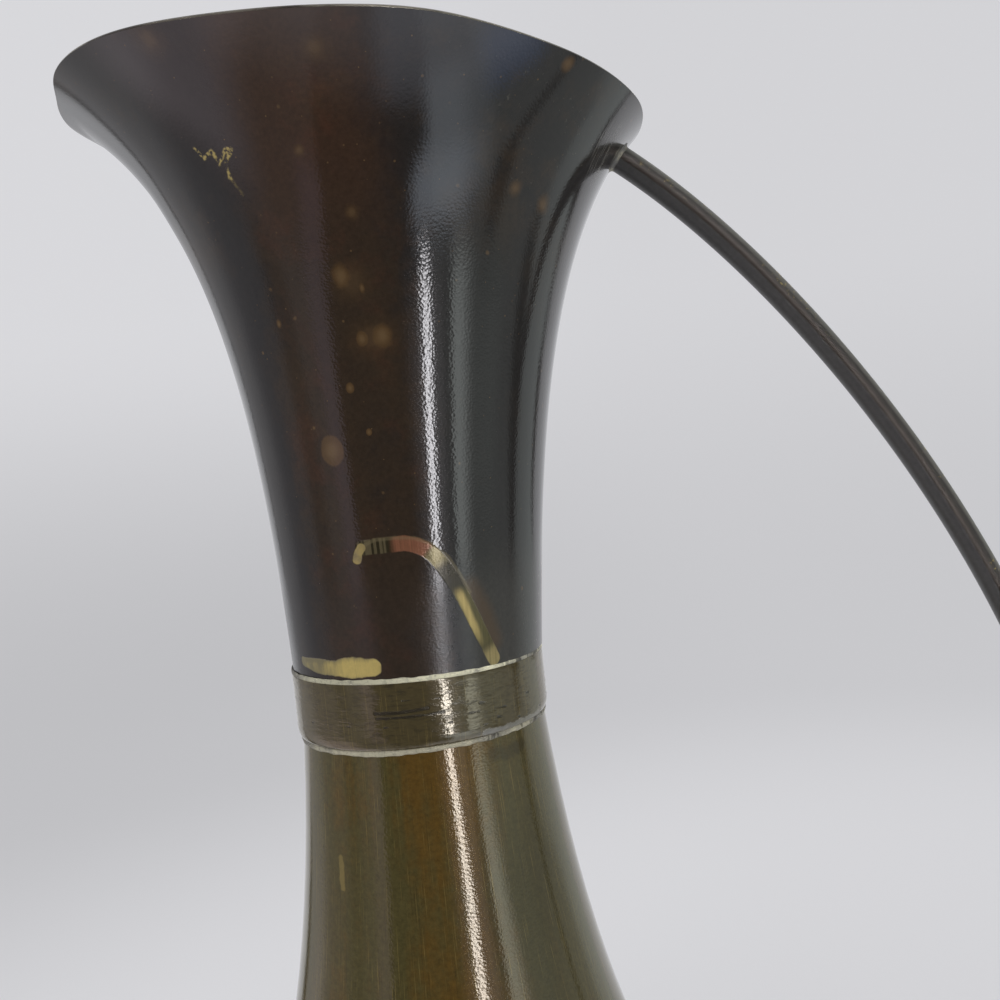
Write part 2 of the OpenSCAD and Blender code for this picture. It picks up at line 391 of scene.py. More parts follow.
def smooth(mesh):
    """Joins points that coincide, turns every face outward and keeps creases sharp."""
    form = bmesh.new()
    form.from_mesh(mesh)
    bmesh.ops.remove_doubles(form, verts=form.verts, dist=SAME_POINT)
    bmesh.ops.recalc_face_normals(form, faces=form.faces)
    form.to_mesh(mesh)
    form.free()
    for face in mesh.polygons:
        face.use_smooth = True
    mesh.set_sharp_from_angle(angle=CREASE)


def face_tree(mesh):
    """The faces of a mesh, sorted for rays."""
    return BVHTree.FromPolygons([v.co for v in mesh.vertices], [p.vertices for p in mesh.polygons])


def add_piece(mesh, finishes, node):
    """Puts a finished mesh in the scene in place of a solid."""
    piece = bpy.data.objects.new(mesh.name, mesh)
    bpy.context.scene.collection.objects.link(piece)
    for finish in finishes:
        mesh.materials.append(finish)
    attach(piece, BODY)
    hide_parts(node)
    return piece


def add_stage_mesh(mesh, finish):
    """Puts a mesh of the stage in the scene."""
    thing = bpy.data.objects.new(mesh.name, mesh)
    bpy.context.scene.collection.objects.link(thing)
    mesh.materials.append(finish)
    return thing


# Shader wiring

def operation(name):
    """An operator method and its reflected form, which add one Math node."""
    def forward(self, other):
        return self.finish.math(name, self, other)

    def reflected(self, other):
        return self.finish.math(name, other, self)

    return forward, reflected


class Wire:
    """One value on its way through a finish; arithmetic on it adds Math nodes."""

    def __init__(self, finish, socket):
        self.finish = finish
        self.socket = socket

    __add__, __radd__ = operation("ADD")
    __sub__, __rsub__ = operation("SUBTRACT")
    __mul__, __rmul__ = operation("MULTIPLY")
    __truediv__, __rtruediv__ = operation("DIVIDE")

    def __abs__(self):
        return self.finish.math("ABSOLUTE", self)


class Finish:
    """A material under construction."""

    def __init__(self, name):
        self.material = bpy.data.materials.new(name)
        self.material.use_nodes = True
        self.tree = self.material.node_tree
        self.tree.nodes.clear()
        self.place = self.node("ShaderNodeTexCoord", output="Object")
        self.x, self.y, self.z = (
            self.node("ShaderNodeSeparateXYZ", sockets={0: self.place}, output=axis) for axis in "XYZ"
        )
        flat = self.vector("MULTIPLY", self.place, (1, 1, 0))
        self.round = self.vector("NORMALIZE", flat)

    def node(self, kind, settings=None, sockets=None, output=0):
        """Adds a node: its settings first, then the values or links of its sockets."""
        made = self.tree.nodes.new(kind)
        for name, value in (settings or {}).items():
            setattr(made, name, value)
        for key, value in (sockets or {}).items():
            if isinstance(value, Wire):
                self.tree.links.new(value.socket, made.inputs[key])
            else:
                made.inputs[key].default_value = value
        return Wire(self, made.outputs[output])

    def math(self, name, first, second=0.0):
        """One Math node."""
        return self.node("ShaderNodeMath", {"operation": name}, {0: first, 1: second})

    def larger(self, first, second):
        """The larger of two values."""
        return self.math("MAXIMUM", first, second)

    def clamped(self, value):
        """A value held between zero and one."""
        return self.node("ShaderNodeClamp", None, {0: value})

    def vector(self, name, first, second=(0, 0, 0), output=0):
        """One Vector Math node."""
        return self.node("ShaderNodeVectorMath", {"operation": name}, {0: first, 1: second}, output)

    def scaled(self, first, amount):
        """A vector or colour times a value."""
        return self.node("ShaderNodeVectorMath", {"operation": "SCALE"}, {0: first, 3: amount})

    def mix(self, share, first, second):
        """The second colour over the first."""
        colours = [c if isinstance(c, Wire) else (*c, 1) for c in (first, second)]
        return self.node(
            "ShaderNodeMix", {"data_type": "RGBA"}, {0: share, 6: colours[0], 7: colours[1]}, output=2
        )

    def fade(self, value, low, high):
        """Zero below low, one above high and smooth in between."""
        return self.node(
            "ShaderNodeMapRange", {"interpolation_type": "SMOOTHSTEP"}, {0: value, 1: low, 2: high}
        )

    def clouds(self, at, scale, detail=3.0, rough=0.55):
        """Noise from about 0 to 1."""
        return self.node(
            "ShaderNodeTexNoise", None,
            {"Vector": at, "Scale": scale, "Detail": detail, "Roughness": rough}
        )

    def cells(self, at, scale, output="Distance"):
        """Distance to the nearest of scattered points, or a colour for each."""
        return self.node("ShaderNodeTexVoronoi", None, {"Vector": at, "Scale": scale}, output)

    def wrapped(self, round_scale, height_scale):
        """Coordinates that run round the axis and up it, for marks drawn along one of the two."""
        spread = self.vector("MULTIPLY", self.round, (round_scale, round_scale, 0))
        lift = self.node("ShaderNodeCombineXYZ", None, {2: self.z * height_scale})
        return self.vector("ADD", spread, lift)

    def bump(self, height, depth, under=None):
        """A normal from a height of zero to one, with the depth in metres, on top of another normal."""
        sockets = {"Height": height, "Distance": depth, "Strength": 1.0}
        if under:
            sockets["Normal"] = under
        return self.node("ShaderNodeBump", None, sockets)

    def surface(self, sockets):
        """Ends the finish in a surface shader."""
        shader = self.node("ShaderNodeBsdfPrincipled", None, sockets)
        out = self.tree.nodes.new("ShaderNodeOutputMaterial")
        self.tree.links.new(shader.socket, out.inputs["Surface"])
        return self.material


# The camera, and marks placed by where the picture shows them

def camera_axes(stage):
    """The camera's right, up and forward."""
    p, r = stage.camera_pitch, stage.camera_roll
    level = Vector((1, 0, 0))
    forward = Vector((0, math.cos(p), math.sin(p)))
    upright = Vector((0, -math.sin(p), math.cos(p)))
    right = level * math.cos(r) - upright * math.sin(r)
    up = level * math.sin(r) + upright * math.cos(r)
    return right, up, forward


def seen_on(stage, mesh):
    """A function that gives the point on a piece that the picture shows at a pixel."""
    tree = face_tree(mesh)
    right, up, forward = camera_axes(stage)
    focal = PICTURE_SIDE * stage.lens / stage.sensor
    half = PICTURE_SIDE / 2

    def seen(x, y):
        ray = forward * focal + right * (x - half) - up * (y - half)
        point = tree.ray_cast(Vector(stage.camera_place), ray.normalized())[0]
        if point is None:
            raise RuntimeError(f"nothing lies behind pixel {x}, {y}")
        return np.array(point)

    return seen


Spot = namedtuple("Spot", "x y radius tall strength edge")
Stroke = namedtuple("Stroke", "points radius")

# Rubbed spots on the neck: pixel, radius on the metal, height to width, how far the patina is through and
# how soft the edge is
RUBBED_SPOTS = (
    Spot(332, 451, 2.8 * MM, 1.25, 0.95, 0.1),
    Spot(341, 276, 1.9 * MM, 1.35, 0.85, 0.4),
    Spot(362, 288, 0.6 * MM, 2.0, 0.8, 0.5),
    Spot(351, 282, 4.0 * MM, 1.0, 0.22, 0.6),
    Spot(362, 339, 1.3 * MM, 1.35, 0.85, 0.25),
    Spot(382, 336, 2.1 * MM, 1.2, 0.95, 0.4),
    Spot(373, 338, 5.0 * MM, 0.8, 0.25, 0.6),
    Spot(350, 388, 0.9 * MM, 1.3, 0.95, 0.2),
    Spot(369, 432, 0.65 * MM, 1.2, 0.95, 0.2),
    Spot(568, 64, 1.6 * MM, 1.0, 0.8, 0.4),
    Spot(515, 188, 1.6 * MM, 1.0, 0.6, 0.5),
    Spot(543, 205, 1.9 * MM, 1.1, 0.6, 0.6),
    Spot(315, 48, 2.4 * MM, 0.9, 0.35, 0.7),
    Spot(149, 40, 3.2 * MM, 0.9, 0.3, 0.8),
    Spot(299, 150, 1.1 * MM, 1.0, 0.5, 0.5),
    Spot(352, 212, 1.4 * MM, 1.0, 0.4, 0.6),
    Spot(279, 324, 0.6 * MM, 1.6, 0.9, 0.4),
    Spot(263, 353, 0.4 * MM, 1.0, 0.9, 0.4),
    Spot(314, 428, 0.4 * MM, 1.0, 0.9, 0.4),
)
# Smaller specks: cells to the metre, share of the cells that hold one, its size in cells and its strength
SPECKS = ((210, 0.1, 0.14, 0.45), (520, 0.06, 0.16, 0.5), (1100, 0.03, 0.2, 0.9))
# Pixel at the rod's seat on the neck
ROD_SEAT = (604, 152)

# Strokes on the neck, the collar and the body: the pixels that each passes and half its width on the metal
SCRATCHES = Stroke(
    ((195, 149), (204, 158), (212, 151), (219, 164), (225, 151), (231, 149), (226, 164), (230, 178)), 0.4 * MM
)
SCRATCH_TAIL = Stroke(((230, 178), (244, 196)), 0.35 * MM)
LONG_STROKE = Stroke(
    (
        (363, 548), (378, 546), (392, 545), (404, 543), (415, 545), (425, 549), (434, 555), (442, 564),
        (450, 575), (457, 586), (464, 598), (471, 612), (479, 628), (487, 644), (494, 658),
    ),
    1.7 * MM,
)
STROKE_EDGE = Stroke(
    ((362, 547), (374, 540), (394, 538), (414, 538), (432, 544), (448, 557), (460, 574), (470, 592)), 0.4 * MM
)
STROKE_TIP = Stroke(((357, 560), (358, 553), (361, 548)), 1.0 * MM)
STROKE_SHADE = Stroke(((470, 588), (483, 610), (494, 640)), 2.2 * MM)
STROKE_SHINE = Stroke(((455, 584), (464, 603), (475, 629), (485, 653)), 0.9 * MM)
FOOT_PATCH = Stroke(((304, 661.5), (318, 666), (336, 668.5), (354, 667.5), (373, 667.5)), 1.85 * MM)
COLLAR_SCRATCHES = (
    Stroke(((375, 714), (400, 713), (428, 708)), 0.3 * MM),
    Stroke(((377, 719), (410, 717), (444, 712)), 0.26 * MM),
    Stroke(((384, 728), (452, 722)), 0.16 * MM),
    Stroke(((402, 701), (440, 698)), 0.14 * MM),
    Stroke(((480, 703), (528, 692)), 0.24 * MM),
    Stroke(((470, 713), (506, 706)), 0.2 * MM),
    Stroke(((498, 717), (540, 705)), 0.22 * MM),
    Stroke(((484, 725), (520, 716)), 0.16 * MM),
    Stroke(((312, 722), (350, 727)), 0.18 * MM),
)
COLLAR_SMEAR = Stroke(((486, 733), (502, 729), (522, 721), (540, 711)), 1.1 * MM)
BODY_STAIN = Stroke(((494, 753), (508, 752), (520, 745)), 1.6 * MM)
BODY_MARK = Stroke(((341, 858), (343, 888)), 0.9 * MM)

# Stretches of the long stroke: the shares of its length where each starts and ends, and its colour
STROKE_STRETCHES = (
    (0.14, 0.38, "worn_copper"),
    (0.38, 0.49, "stroke_dim"),
    (0.67, 0.935, "stroke_olive"),
    (0.945, 1.1, "stroke_end"),
)


def stroke_distance(f, seen, stroke):
    """Distance to a stroke's line, and the share of the line passed at its nearest point."""
    points = [seen(x, y) for x, y in stroke.points]
    nearest, passed = None, None
    for i, (start, end) in enumerate(zip(points, points[1:])):
        run = end - start
        offset = f.vector("SUBTRACT", f.place, tuple(start))
        share = f.clamped(f.vector("DOT_PRODUCT", offset, tuple(run / (run @ run)), "Value"))
        distance = f.vector("DISTANCE", offset, f.scaled(tuple(run), share), "Value")
        place = (share + i) / (len(points) - 1)
        if nearest is None:
            nearest, passed = distance, place
        else:
            closer = f.math("LESS_THAN", distance, nearest)
            passed = passed + closer * (place - passed)
            nearest = f.math("MINIMUM", nearest, distance)
    return nearest, passed


def stroke_cover(f, seen, stroke, wander, inner_share, outer_share):
    """One on a stroke, fading to zero between two shares of its half width, and the share of its line passed.

    The wander is a length that moves the edge in and out.
    """
    distance, passed = stroke_distance(f, seen, stroke)
    edge = f.fade(distance + wander, inner_share * stroke.radius, outer_share * stroke.radius)
    return 1 - edge, passed


# Finishes

# Heights between which the neck's foot ends and its flare begins
FOOT_ENDS = (NECK_LOW.z + 12 * MM, NECK_LOW.z + 32 * MM)
FLARE_BEGINS = (NECK_LOW.z + 88 * MM, NECK_LOW.z + 112 * MM)

# Middles of the warm stripes on the neck's and the body's front, and the depths between which a front ends;
# on the neck the warm stripe and the cooler sides are partly painted reflection
NECK_FRONT = -5 * MM
BODY_FRONT = 6 * MM
FRONT_ENDS = (-15 * MM, 0.0)

# Ways that the rod's back and its inner side face: a painted highlight, a darker band and worn specks follow
# the back, and painted shade the inner side
ROD_BACK = (0.75, -0.33, 0.56)
ROD_INNER = (-1, 0, 0)

# Relief of the sheet, in pits and waves to the metre, and how deep the waves are
PIT_SCALE = 1700
WAVE_SCALE = 55
WAVE_DEPTH = 0.08 * MM


def sheet_waves(f):
    """A normal for the slow waves of beaten sheet."""
    return f.bump(f.clouds(f.place, WAVE_SCALE, 1), WAVE_DEPTH)


def front_stripe(f, middle, inner, outer):
    """One along the middle of a front, fading to zero between two distances beside it."""
    return (1 - f.fade(abs(f.x - middle), inner, outer)) * (1 - f.fade(f.y, *FRONT_ENDS))


def patina_ground(f, colours, mottle, foot, flare):
    """Unworn patina: warm before the eye and cooler beside, partly the patina's own tone and partly painted
    reflection, hazy over the collar and flecked on the flare.
    """
    cloud = f.clouds(f.place, 16, 4)
    drift = f.clouds(f.wrapped(1.4, 9), 3, 3)
    # Warmer before the eye and cooler beside: partly the patina's own tone and partly painted reflection,
    # warm where the lacquer mirrors the dark room and cooler where it mirrors the paler sides; the rust on
    # the flare's front follows the same stripe
    front = front_stripe(f, NECK_FRONT, 7 * MM, 22 * MM)
    cool = f.fade(abs(f.x - NECK_FRONT), 14 * MM, 28 * MM) * (1 - flare)
    tone = cloud * 0.35 + drift * 0.25 + mottle * 0.3 + front * 0.28 - cool * 0.12
    base = f.mix(f.fade(tone, 0.48, 0.76), colours.patina_dark, colours.patina_warm)
    bloom = f.fade(f.clouds(f.place, 75, 5, 0.65), 0.5, 0.72) * f.fade(tone, 0.5, 0.75)
    base = f.mix(bloom * 0.5 + flare * front * 0.35, base, colours.patina_rust)
    dust = f.fade(f.clouds(f.place, 36, 6, 0.7), 0.5, 0.7)
    base = f.mix(dust * (0.1 + flare * 0.15), base, colours.worn_brown)
    haze = f.fade(f.x, 12 * MM, 21 * MM) * foot
    base = f.mix(haze * (0.35 + dust * 0.5), base, colours.patina_haze)
    flecks = f.fade(f.clouds(f.place, 650, 3, 0.7), 0.64, 0.73) * flare * f.fade(f.x, 10 * MM, 40 * MM)
    return f.mix(flecks * 0.6, base, colours.patina_haze)


def rubbed_spots(f, seen, ragged):
    """How far the patina is through in the rubbed spots and specks, and in their middles alone."""
    rubbed, core = 0.0, 0.0
    for spot in RUBBED_SPOTS:
        offset = f.vector("SUBTRACT", f.place, tuple(seen(spot.x, spot.y)))
        offset = f.vector("MULTIPLY", offset, (1, 1, 1 / spot.tall))
        distance = f.vector("LENGTH", offset, output="Value") / spot.radius + ragged * (0.2 + spot.edge)
        cover = (1 - f.fade(distance, 1 - spot.edge, 1 + spot.edge)) * spot.strength
        rubbed = f.larger(rubbed, cover)
        core = f.larger(core, cover * (1 - f.fade(distance, 0.1, 0.9)))
    for scale, share, size, strength in SPECKS:
        pick = f.node("ShaderNodeSeparateColor", None, {0: f.cells(f.place, scale, "Color")})
        speck = 1 - f.fade(f.cells(f.place, scale) + ragged * 0.3, 0.4 * size, size)
        speck = speck * f.fade(pick, 1 - share, 1.01 - share) * strength
        rubbed = f.larger(rubbed, speck)
        core = f.larger(core, speck)
    return rubbed, core


def stroke_metal(f, colours, passed, shine, mottle):
    """Colours along the long stroke: barred, then reddened, dull, dark, olive and bright at its end."""
    lines = f.clouds(f.wrapped(95, 30), 1, 2)
    bars = f.fade(f.clouds(f.wrapped(36, 3), 1, 1), 0.46, 0.56) * (1 - f.fade(passed, 0.11, 0.13))
    metal = f.mix(bars * 0.42, colours.stroke_dark, colours.stroke_pale)
    for start, end, tint in STROKE_STRETCHES:
        stretch = f.fade(passed, start - 0.02, start + 0.03) * (1 - f.fade(passed, end - 0.03, end + 0.04))
        metal = f.mix(stretch, metal, getattr(colours, tint))
    metal = f.mix(shine, metal, colours.stroke_gold)
    return f.scaled(metal, 0.3 + lines * 0.9 + mottle * 0.4)


def foot_gilding(f, colours, seen, ragged, fine):
    """The bare patch above the collar: where it is, and its brushed brass."""
    reach, passed = stroke_distance(f, seen, FOOT_PATCH)
    swell = 0.65 + f.fade(passed, 0.0, 0.25) * 0.35 + f.fade(passed, 0.45, 0.7) * 0.35
    swell = swell - f.fade(passed, 0.72, 1.0) * 0.25
    reach = reach / swell / FOOT_PATCH.radius + ragged * 0.4
    brush = f.clouds(f.wrapped(14, 260), 1, 3)
    streaks = f.clouds(f.wrapped(120, 40), 1, 2)
    middle = seen(*FOOT_PATCH.points[3])[2]
    crest = f.fade(f.z, middle + 0.4 * MM, middle + 2.2 * MM) + f.fade(reach, 0.75, 1.0) * 0.5
    gilt = f.fade(f.x, -25 * MM, -12 * MM) * 1.1 + brush * 1.4 + streaks * 0.8 - 1.1 - crest * 0.6
    metal = f.mix(f.clamped(gilt), colours.worn_olive, colours.worn_brass)
    return 1 - f.fade(reach, 0.9, 1.06), f.scaled(metal, 0.7 + fine * 0.35 + streaks * 0.25)


def neck_patina(colours, seen):
    """Dark glossy patina, rubbed through to brass in spots and one long stroke."""
    f = Finish("neck_patina")
    mottle = f.clouds(f.place, 260, 4, 0.65)
    ragged = f.clouds(f.place, 420, 4, 0.6) - 0.5
    fine = f.clouds(f.place, 900, 4, 0.7)
    foot = 1 - f.fade(f.z, *FOOT_ENDS)
    flare = f.fade(f.z, *FLARE_BEGINS)

    def worn(stroke, edge, wander):
        soft = edge / stroke.radius
        return stroke_cover(f, seen, stroke, ragged * wander, 1 - soft, 1 + soft)

    base = f.scaled(patina_ground(f, colours, mottle, foot, flare), 0.6 + fine * 0.8)
    rubbed, core = rubbed_spots(f, seen, ragged)
    base = f.mix(rubbed * (0.75 + fine * 0.4), base, colours.worn_brown)
    base = f.mix(core * 0.7, base, colours.worn_light)

    shade, _ = worn(STROKE_SHADE, 1.8 * MM, 0.6 * MM)
    base = f.mix(shade * 0.6, base, colours.worn_brown)
    cover, passed = worn(LONG_STROKE, 0.2 * MM, 0.4 * MM)
    shine, shine_passed = worn(STROKE_SHINE, 0.6 * MM, 0.3 * MM)
    shine = shine * f.fade(shine_passed, 0.02, 0.25) * (1 - f.fade(shine_passed, 0.6, 0.95))
    base = f.mix(cover, base, stroke_metal(f, colours, passed, shine, mottle))
    edge, _ = worn(STROKE_EDGE, 0.25 * MM, 0.3 * MM)
    base = f.mix(edge * 0.35, base, colours.stroke_pale)
    tip, _ = worn(STROKE_TIP, 0.15 * MM, 0.4 * MM)
    tip_metal = f.mix(f.fade(mottle, 0.3, 0.6) * 0.75, colours.stroke_pale, colours.stroke_gold)
    base = f.mix(tip * 0.95, base, tip_metal)
    patch, gilding = foot_gilding(f, colours, seen, ragged, fine)
    base = f.mix(patch, base, gilding)
    scratch, _ = worn(SCRATCHES, 0.25 * MM, 1.2 * MM)
    tail, _ = worn(SCRATCH_TAIL, 0.3 * MM, 1.2 * MM)
    scratch = (scratch + tail * 0.2) * f.fade(f.clouds(f.place, 1300, 2), 0.36, 0.6)
    base = f.mix(scratch * 0.7, base, colours.worn_brass)

    from_seat = f.vector("DISTANCE", f.place, tuple(seen(*ROD_SEAT)), "Value")
    file_marks = f.fade(f.clouds(f.wrapped(260, 90), 1, 2), 0.54, 0.7)
    filed = (1 - f.fade(from_seat, 4 * MM, 10 * MM)) * file_marks
    base = f.mix(filed * 0.7, base, colours.solder_grey)

    bare = f.larger(f.larger(cover, patch), f.larger(tip, scratch * 0.5))
    pits = f.cells(f.place, PIT_SCALE) * (1 - flare * 0.5)
    return f.surface({
        "Base Color": base,
        "Metallic": bare * 0.25,
        "Roughness": 0.07 + mottle * 0.05 + foot * 0.15 + bare * 0.1 + filed * 0.2,
        "IOR": 1.52,
        "Normal": f.bump(pits - bare * 2.0 + filed, 0.014 * MM, under=sheet_waves(f)),
    })


def rim_brass(colours):
    """Bare cut edge of the sheet, tarnished in stretches."""
    f = Finish("rim_brass")
    stain = f.clouds(f.place, 60, 4)
    file = f.clouds(f.place, 1600, 2)
    return f.surface({
        "Base Color": f.mix(f.fade(stain, 0.4, 0.62) * 0.85, colours.rim_edge, colours.patina_warm),
        "Metallic": 0.6,
        "Roughness": 0.25 + stain * 0.15,
        "Normal": f.bump(file, 0.02 * MM),
    })


def inside_tarnish(colours):
    """Dull tarnished brass inside the vessel, darker towards the rim."""
    f = Finish("inside_tarnish")
    blotch = f.clouds(f.place, 60, 5)
    rings = f.clouds(f.wrapped(1, 900), 1, 3)
    rim = f.fade(f.z, NECK_HIGH.z - 30 * MM, NECK_HIGH.z)
    base = f.mix(f.fade(blotch, 0.35, 0.7), colours.inside_brass, colours.patina_warm)
    base = f.mix(rim * 0.8, base, colours.patina_dark)
    return f.surface({
        "Base Color": base,
        "Metallic": 0.8 - rim * 0.5,
        "Roughness": 0.38 + blotch * 0.2,
        "Normal": f.bump(rings * 0.6 + blotch * 0.4, 0.05 * MM),
    })


def collar_brass(colours, seen):
    """Olive brass, brushed round the band, scratched and tarnished in streaks."""
    f = Finish("collar_brass")
    fine = f.clouds(f.wrapped(12, 1500), 1, 2)
    broad = f.clouds(f.wrapped(6, 800), 1, 3)
    blotch = f.clouds(f.place, 90, 4)
    upright = f.clouds(f.wrapped(110, 60), 1, 2)
    mottle = f.clouds(f.place, 700, 4, 0.65)
    ragged = (f.clouds(f.place, 900, 2) - 0.5) * (0.3 * MM)
    lines = f.fade(fine, 0.52, 0.62)
    streak = f.fade(broad, 0.56, 0.7) * f.fade(blotch, 0.42, 0.62) * 0.6
    for stroke in COLLAR_SCRATCHES:
        line, _ = stroke_cover(f, seen, stroke, ragged, 0.8, 1.8)
        streak = f.larger(streak, line * (0.75 + broad * 0.6))
    base = f.scaled(colours.collar_olive, 0.55 + mottle * 0.6 + blotch * 0.25)
    base = f.mix(f.fade(upright, 0.6, 0.74) * 0.3, base, colours.hair_brass)
    base = f.mix(lines * 0.3, base, colours.collar_dark)
    base = f.mix(streak * 0.9, base, colours.collar_dark)
    wander = (f.clouds(f.place, 420, 4, 0.65) - 0.5) * (2.2 * MM)
    smear, _ = stroke_cover(f, seen, COLLAR_SMEAR, wander, 0.5, 1.1)
    base = f.mix(smear * 0.8, base, f.scaled(colours.solder_grey, 0.6 + mottle * 0.8))
    brushing = fine + broad * 0.5 + upright * 0.1 - streak
    relief = brushing + f.cells(f.place, PIT_SCALE) * 0.15 + smear * mottle
    return f.surface({
        "Base Color": base,
        "Metallic": 0.2,
        "Roughness": 0.08 + streak * 0.2 + lines * 0.1 + smear * 0.3,
        "IOR": 1.77,
        "Specular Tint": (1, 0.96, 0.86, 1),
        "Normal": f.bump(relief, 0.055 * MM),
    })


def body_bronze(colours, seen):
    """Olive bronze with amber clouds and fine upright scratches, and painted shade in a band low on the body
    towards the handle.
    """
    f = Finish("body_bronze")
    cloud = f.clouds(f.place, 24, 4)
    mottle = f.clouds(f.place, 300, 4, 0.65)
    tall = f.clouds(f.wrapped(5, 5), 1.5, 3)
    hair = f.clouds(f.wrapped(150, 60), 1, 2)
    tone = cloud * 0.4 + tall * 0.4 + mottle * 0.2
    front = front_stripe(f, BODY_FRONT, 3 * MM, 17 * MM)
    base = f.mix(f.fade(tone + front * 0.16, 0.5, 0.72), colours.body_olive, colours.body_amber)
    # Painted shade: a darker band low on the body, between 4 and 34 mm towards the handle
    low = 1 - f.fade(f.z, WALL_HIGH.z - 60 * MM, WALL_HIGH.z - 25 * MM)
    low = low * f.fade(f.x, 4 * MM, 14 * MM) * (1 - f.fade(f.x, 24 * MM, 34 * MM))
    base = f.scaled(base, (0.45 + f.clouds(f.place, 900, 4, 0.7) * 1.1) * (1 - low * 0.28))
    base = f.mix(f.fade(hair, 0.62, 0.74) * 0.4, base, colours.hair_brass)
    base = f.mix((1 - f.fade(hair, 0.26, 0.38)) * 0.45, base, colours.collar_dark)
    wander = (f.clouds(f.place, 500, 3) - 0.5) * (1.2 * MM)
    mark, _ = stroke_cover(f, seen, BODY_MARK, wander, 0.6, 1.2)
    base = f.mix(mark * 0.4, base, colours.hair_brass)
    stain, _ = stroke_cover(f, seen, BODY_STAIN, (mottle - 0.5) * (2 * MM), 0.5, 1.5)
    base = f.mix(stain * 0.5, base, colours.collar_dark)
    relief = f.cells(f.place, PIT_SCALE) + hair * 0.4
    return f.surface({
        "Base Color": base,
        "Metallic": 0.08,
        "Roughness": 0.07 + mottle * 0.05,
        "IOR": 1.62,
        "Specular Tint": (1, 0.94, 0.82, 1),
        "Normal": f.bump(relief, 0.012 * MM, under=sheet_waves(f)),
    })


def base_tarnish(colours):
    """Plain sheet, dulled and scuffed where it slides on tables."""
    f = Finish("base_brass")
    blotch = f.clouds(f.place, 40, 5)
    scuff = f.clouds(f.vector("MULTIPLY", f.place, (900, 60, 60)), 1, 3)
    base = f.mix(f.fade(blotch, 0.35, 0.65), colours.base_brass, colours.collar_dark)
    base = f.mix(f.fade(scuff, 0.6, 0.75) * 0.5, base, colours.worn_brass)
    return f.surface({
        "Base Color": base,
        "Metallic": 0.85,
        "Roughness": 0.34 + blotch * 0.2,
        "Normal": f.bump(scuff * 0.6 + blotch * 0.4, 0.05 * MM),
    })


def rod_tarnish(colours):
    """Grey-brown drawn rod: a painted highlight and worn brass specks along its back, a darker band beside
    that, and painted shade on the side towards the vessel.
    """
    f = Finish("rod_brass")
    stain = f.clouds(f.place, 60, 4)
    speck = f.clouds(f.place, 900, 3)
    grain = f.cells(f.place, 2200)
    facing = f.node("ShaderNodeTexCoord", output="Normal")
    back = f.vector("DOT_PRODUCT", facing, ROD_BACK, "Value") + (stain - 0.5) * 0.15
    inward = f.vector("DOT_PRODUCT", facing, ROD_INNER, "Value")
    stripe = f.fade(back, 0.02, 0.2) * (1 - f.fade(back, 0.2, 0.85) * 0.6)
    base = f.scaled(colours.rod_grey, 0.75 + speck * 0.5)
    # Darker band beside the rod's back, set by which way the surface faces
    base = f.mix(stripe, base, colours.rod_dark)
    # Painted highlight along the rod's back, where it faces ROD_BACK
    base = f.mix(f.fade(back, 0.66, 0.8), base, colours.rod_painted_highlight)
    # Painted shade on the side of the rod that faces the vessel, near the neck and the body
    near = 1 - f.fade(f.x, 82 * MM, 100 * MM)
    base = f.mix(f.fade(inward, 0.7, 0.86) * near * 0.95, base, colours.rod_painted_shade)
    worn = f.fade(speck, 0.58, 0.7) * f.fade(stain, 0.48, 0.58) * f.fade(back, 0.4, 0.6)
    base = f.mix(worn * 0.7, base, colours.worn_brass)
    return f.surface({
        "Base Color": base,
        "Metallic": 0.45,
        "Roughness": 0.34 + stain * 0.12,
        "Normal": f.bump(speck * 0.5 + grain * 0.5, 0.004 * MM),
    })


def solder_crust(name, pale, grey, dirt, side, lift=0.0, gap=0.5):
    """Crusted, pitted solder: grey at the lip's side, lighter towards the handle and gapped past a side."""
    f = Finish(name)
    patch = f.clouds(f.place, 110, 4)
    pits = f.clouds(f.place, 1500, 4, 0.65)
    gaps = f.clouds(f.wrapped(20, 200), 1, 2)
    right = f.fade(f.x, side, side + 6 * MM)
    left = 1 - f.fade(f.x, -30 * MM, -14 * MM)
    base = f.scaled(tuple(pale), 1 + f.fade(f.x, -15 * MM, 18 * MM) * lift)
    base = f.mix(f.fade(patch + left * 0.22 + right * 0.08, 0.5, 0.72), base, grey)
    crumbs = f.fade(f.clouds(f.place, 520, 3, 0.6), 0.5, 0.62)
    base = f.mix(crumbs * (0.3 + left * 0.2), base, grey)
    base = f.mix((1 - f.fade(pits, 0.3, 0.46)) * (0.35 + left * 0.4), base, dirt)
    base = f.mix(f.fade(gaps, gap, gap + 0.06) * right * 0.7, base, dirt)
    return f.surface({
        "Base Color": base,
        "Metallic": 0.1,
        "Roughness": 0.5 + pits * 0.2,
        "Normal": f.bump(pits * 0.6 + patch * 0.4, 0.2 * MM),
    })


# The stage: a pale sweep for the eye and a room of soft light that only the metal mirrors

Card = namedtuple("Card", "start end start_soft end_soft low glow low_soft", defaults=(4,))
Patch = namedtuple("Patch", "start end start_soft end_soft rise fall strength")

# Upright cards of the mirrored room: where each starts and ends, in degrees from straight before the
# vessel and positive towards the handle, how soft its two edges are, its lowest elevation, its light and
# how soft its lower end is
ROOM_CARDS = (
    Card(43.5, 55, 1.2, 7, -21, (2.0, 2.15, 2.1)),
    Card(-100, -30, 10, 1.2, -90, (0.17, 0.16, 0.17)),
    Card(-100, -30, 10, 1.2, -17, (0.11, 0.12, 0.14)),
    Card(-41, -30, 4, 1.2, -30, (0.2, 0.14, 0.22)),
    Card(31, 62, 2, 6, -90, (0.25, 0.28, 0.28)),
    Card(58, 80, 5, 8, -22, (0.2, 0.24, 0.22)),
    Card(15, 37, 7, 4, -20, (0.5, 0.47, 0.5)),
)
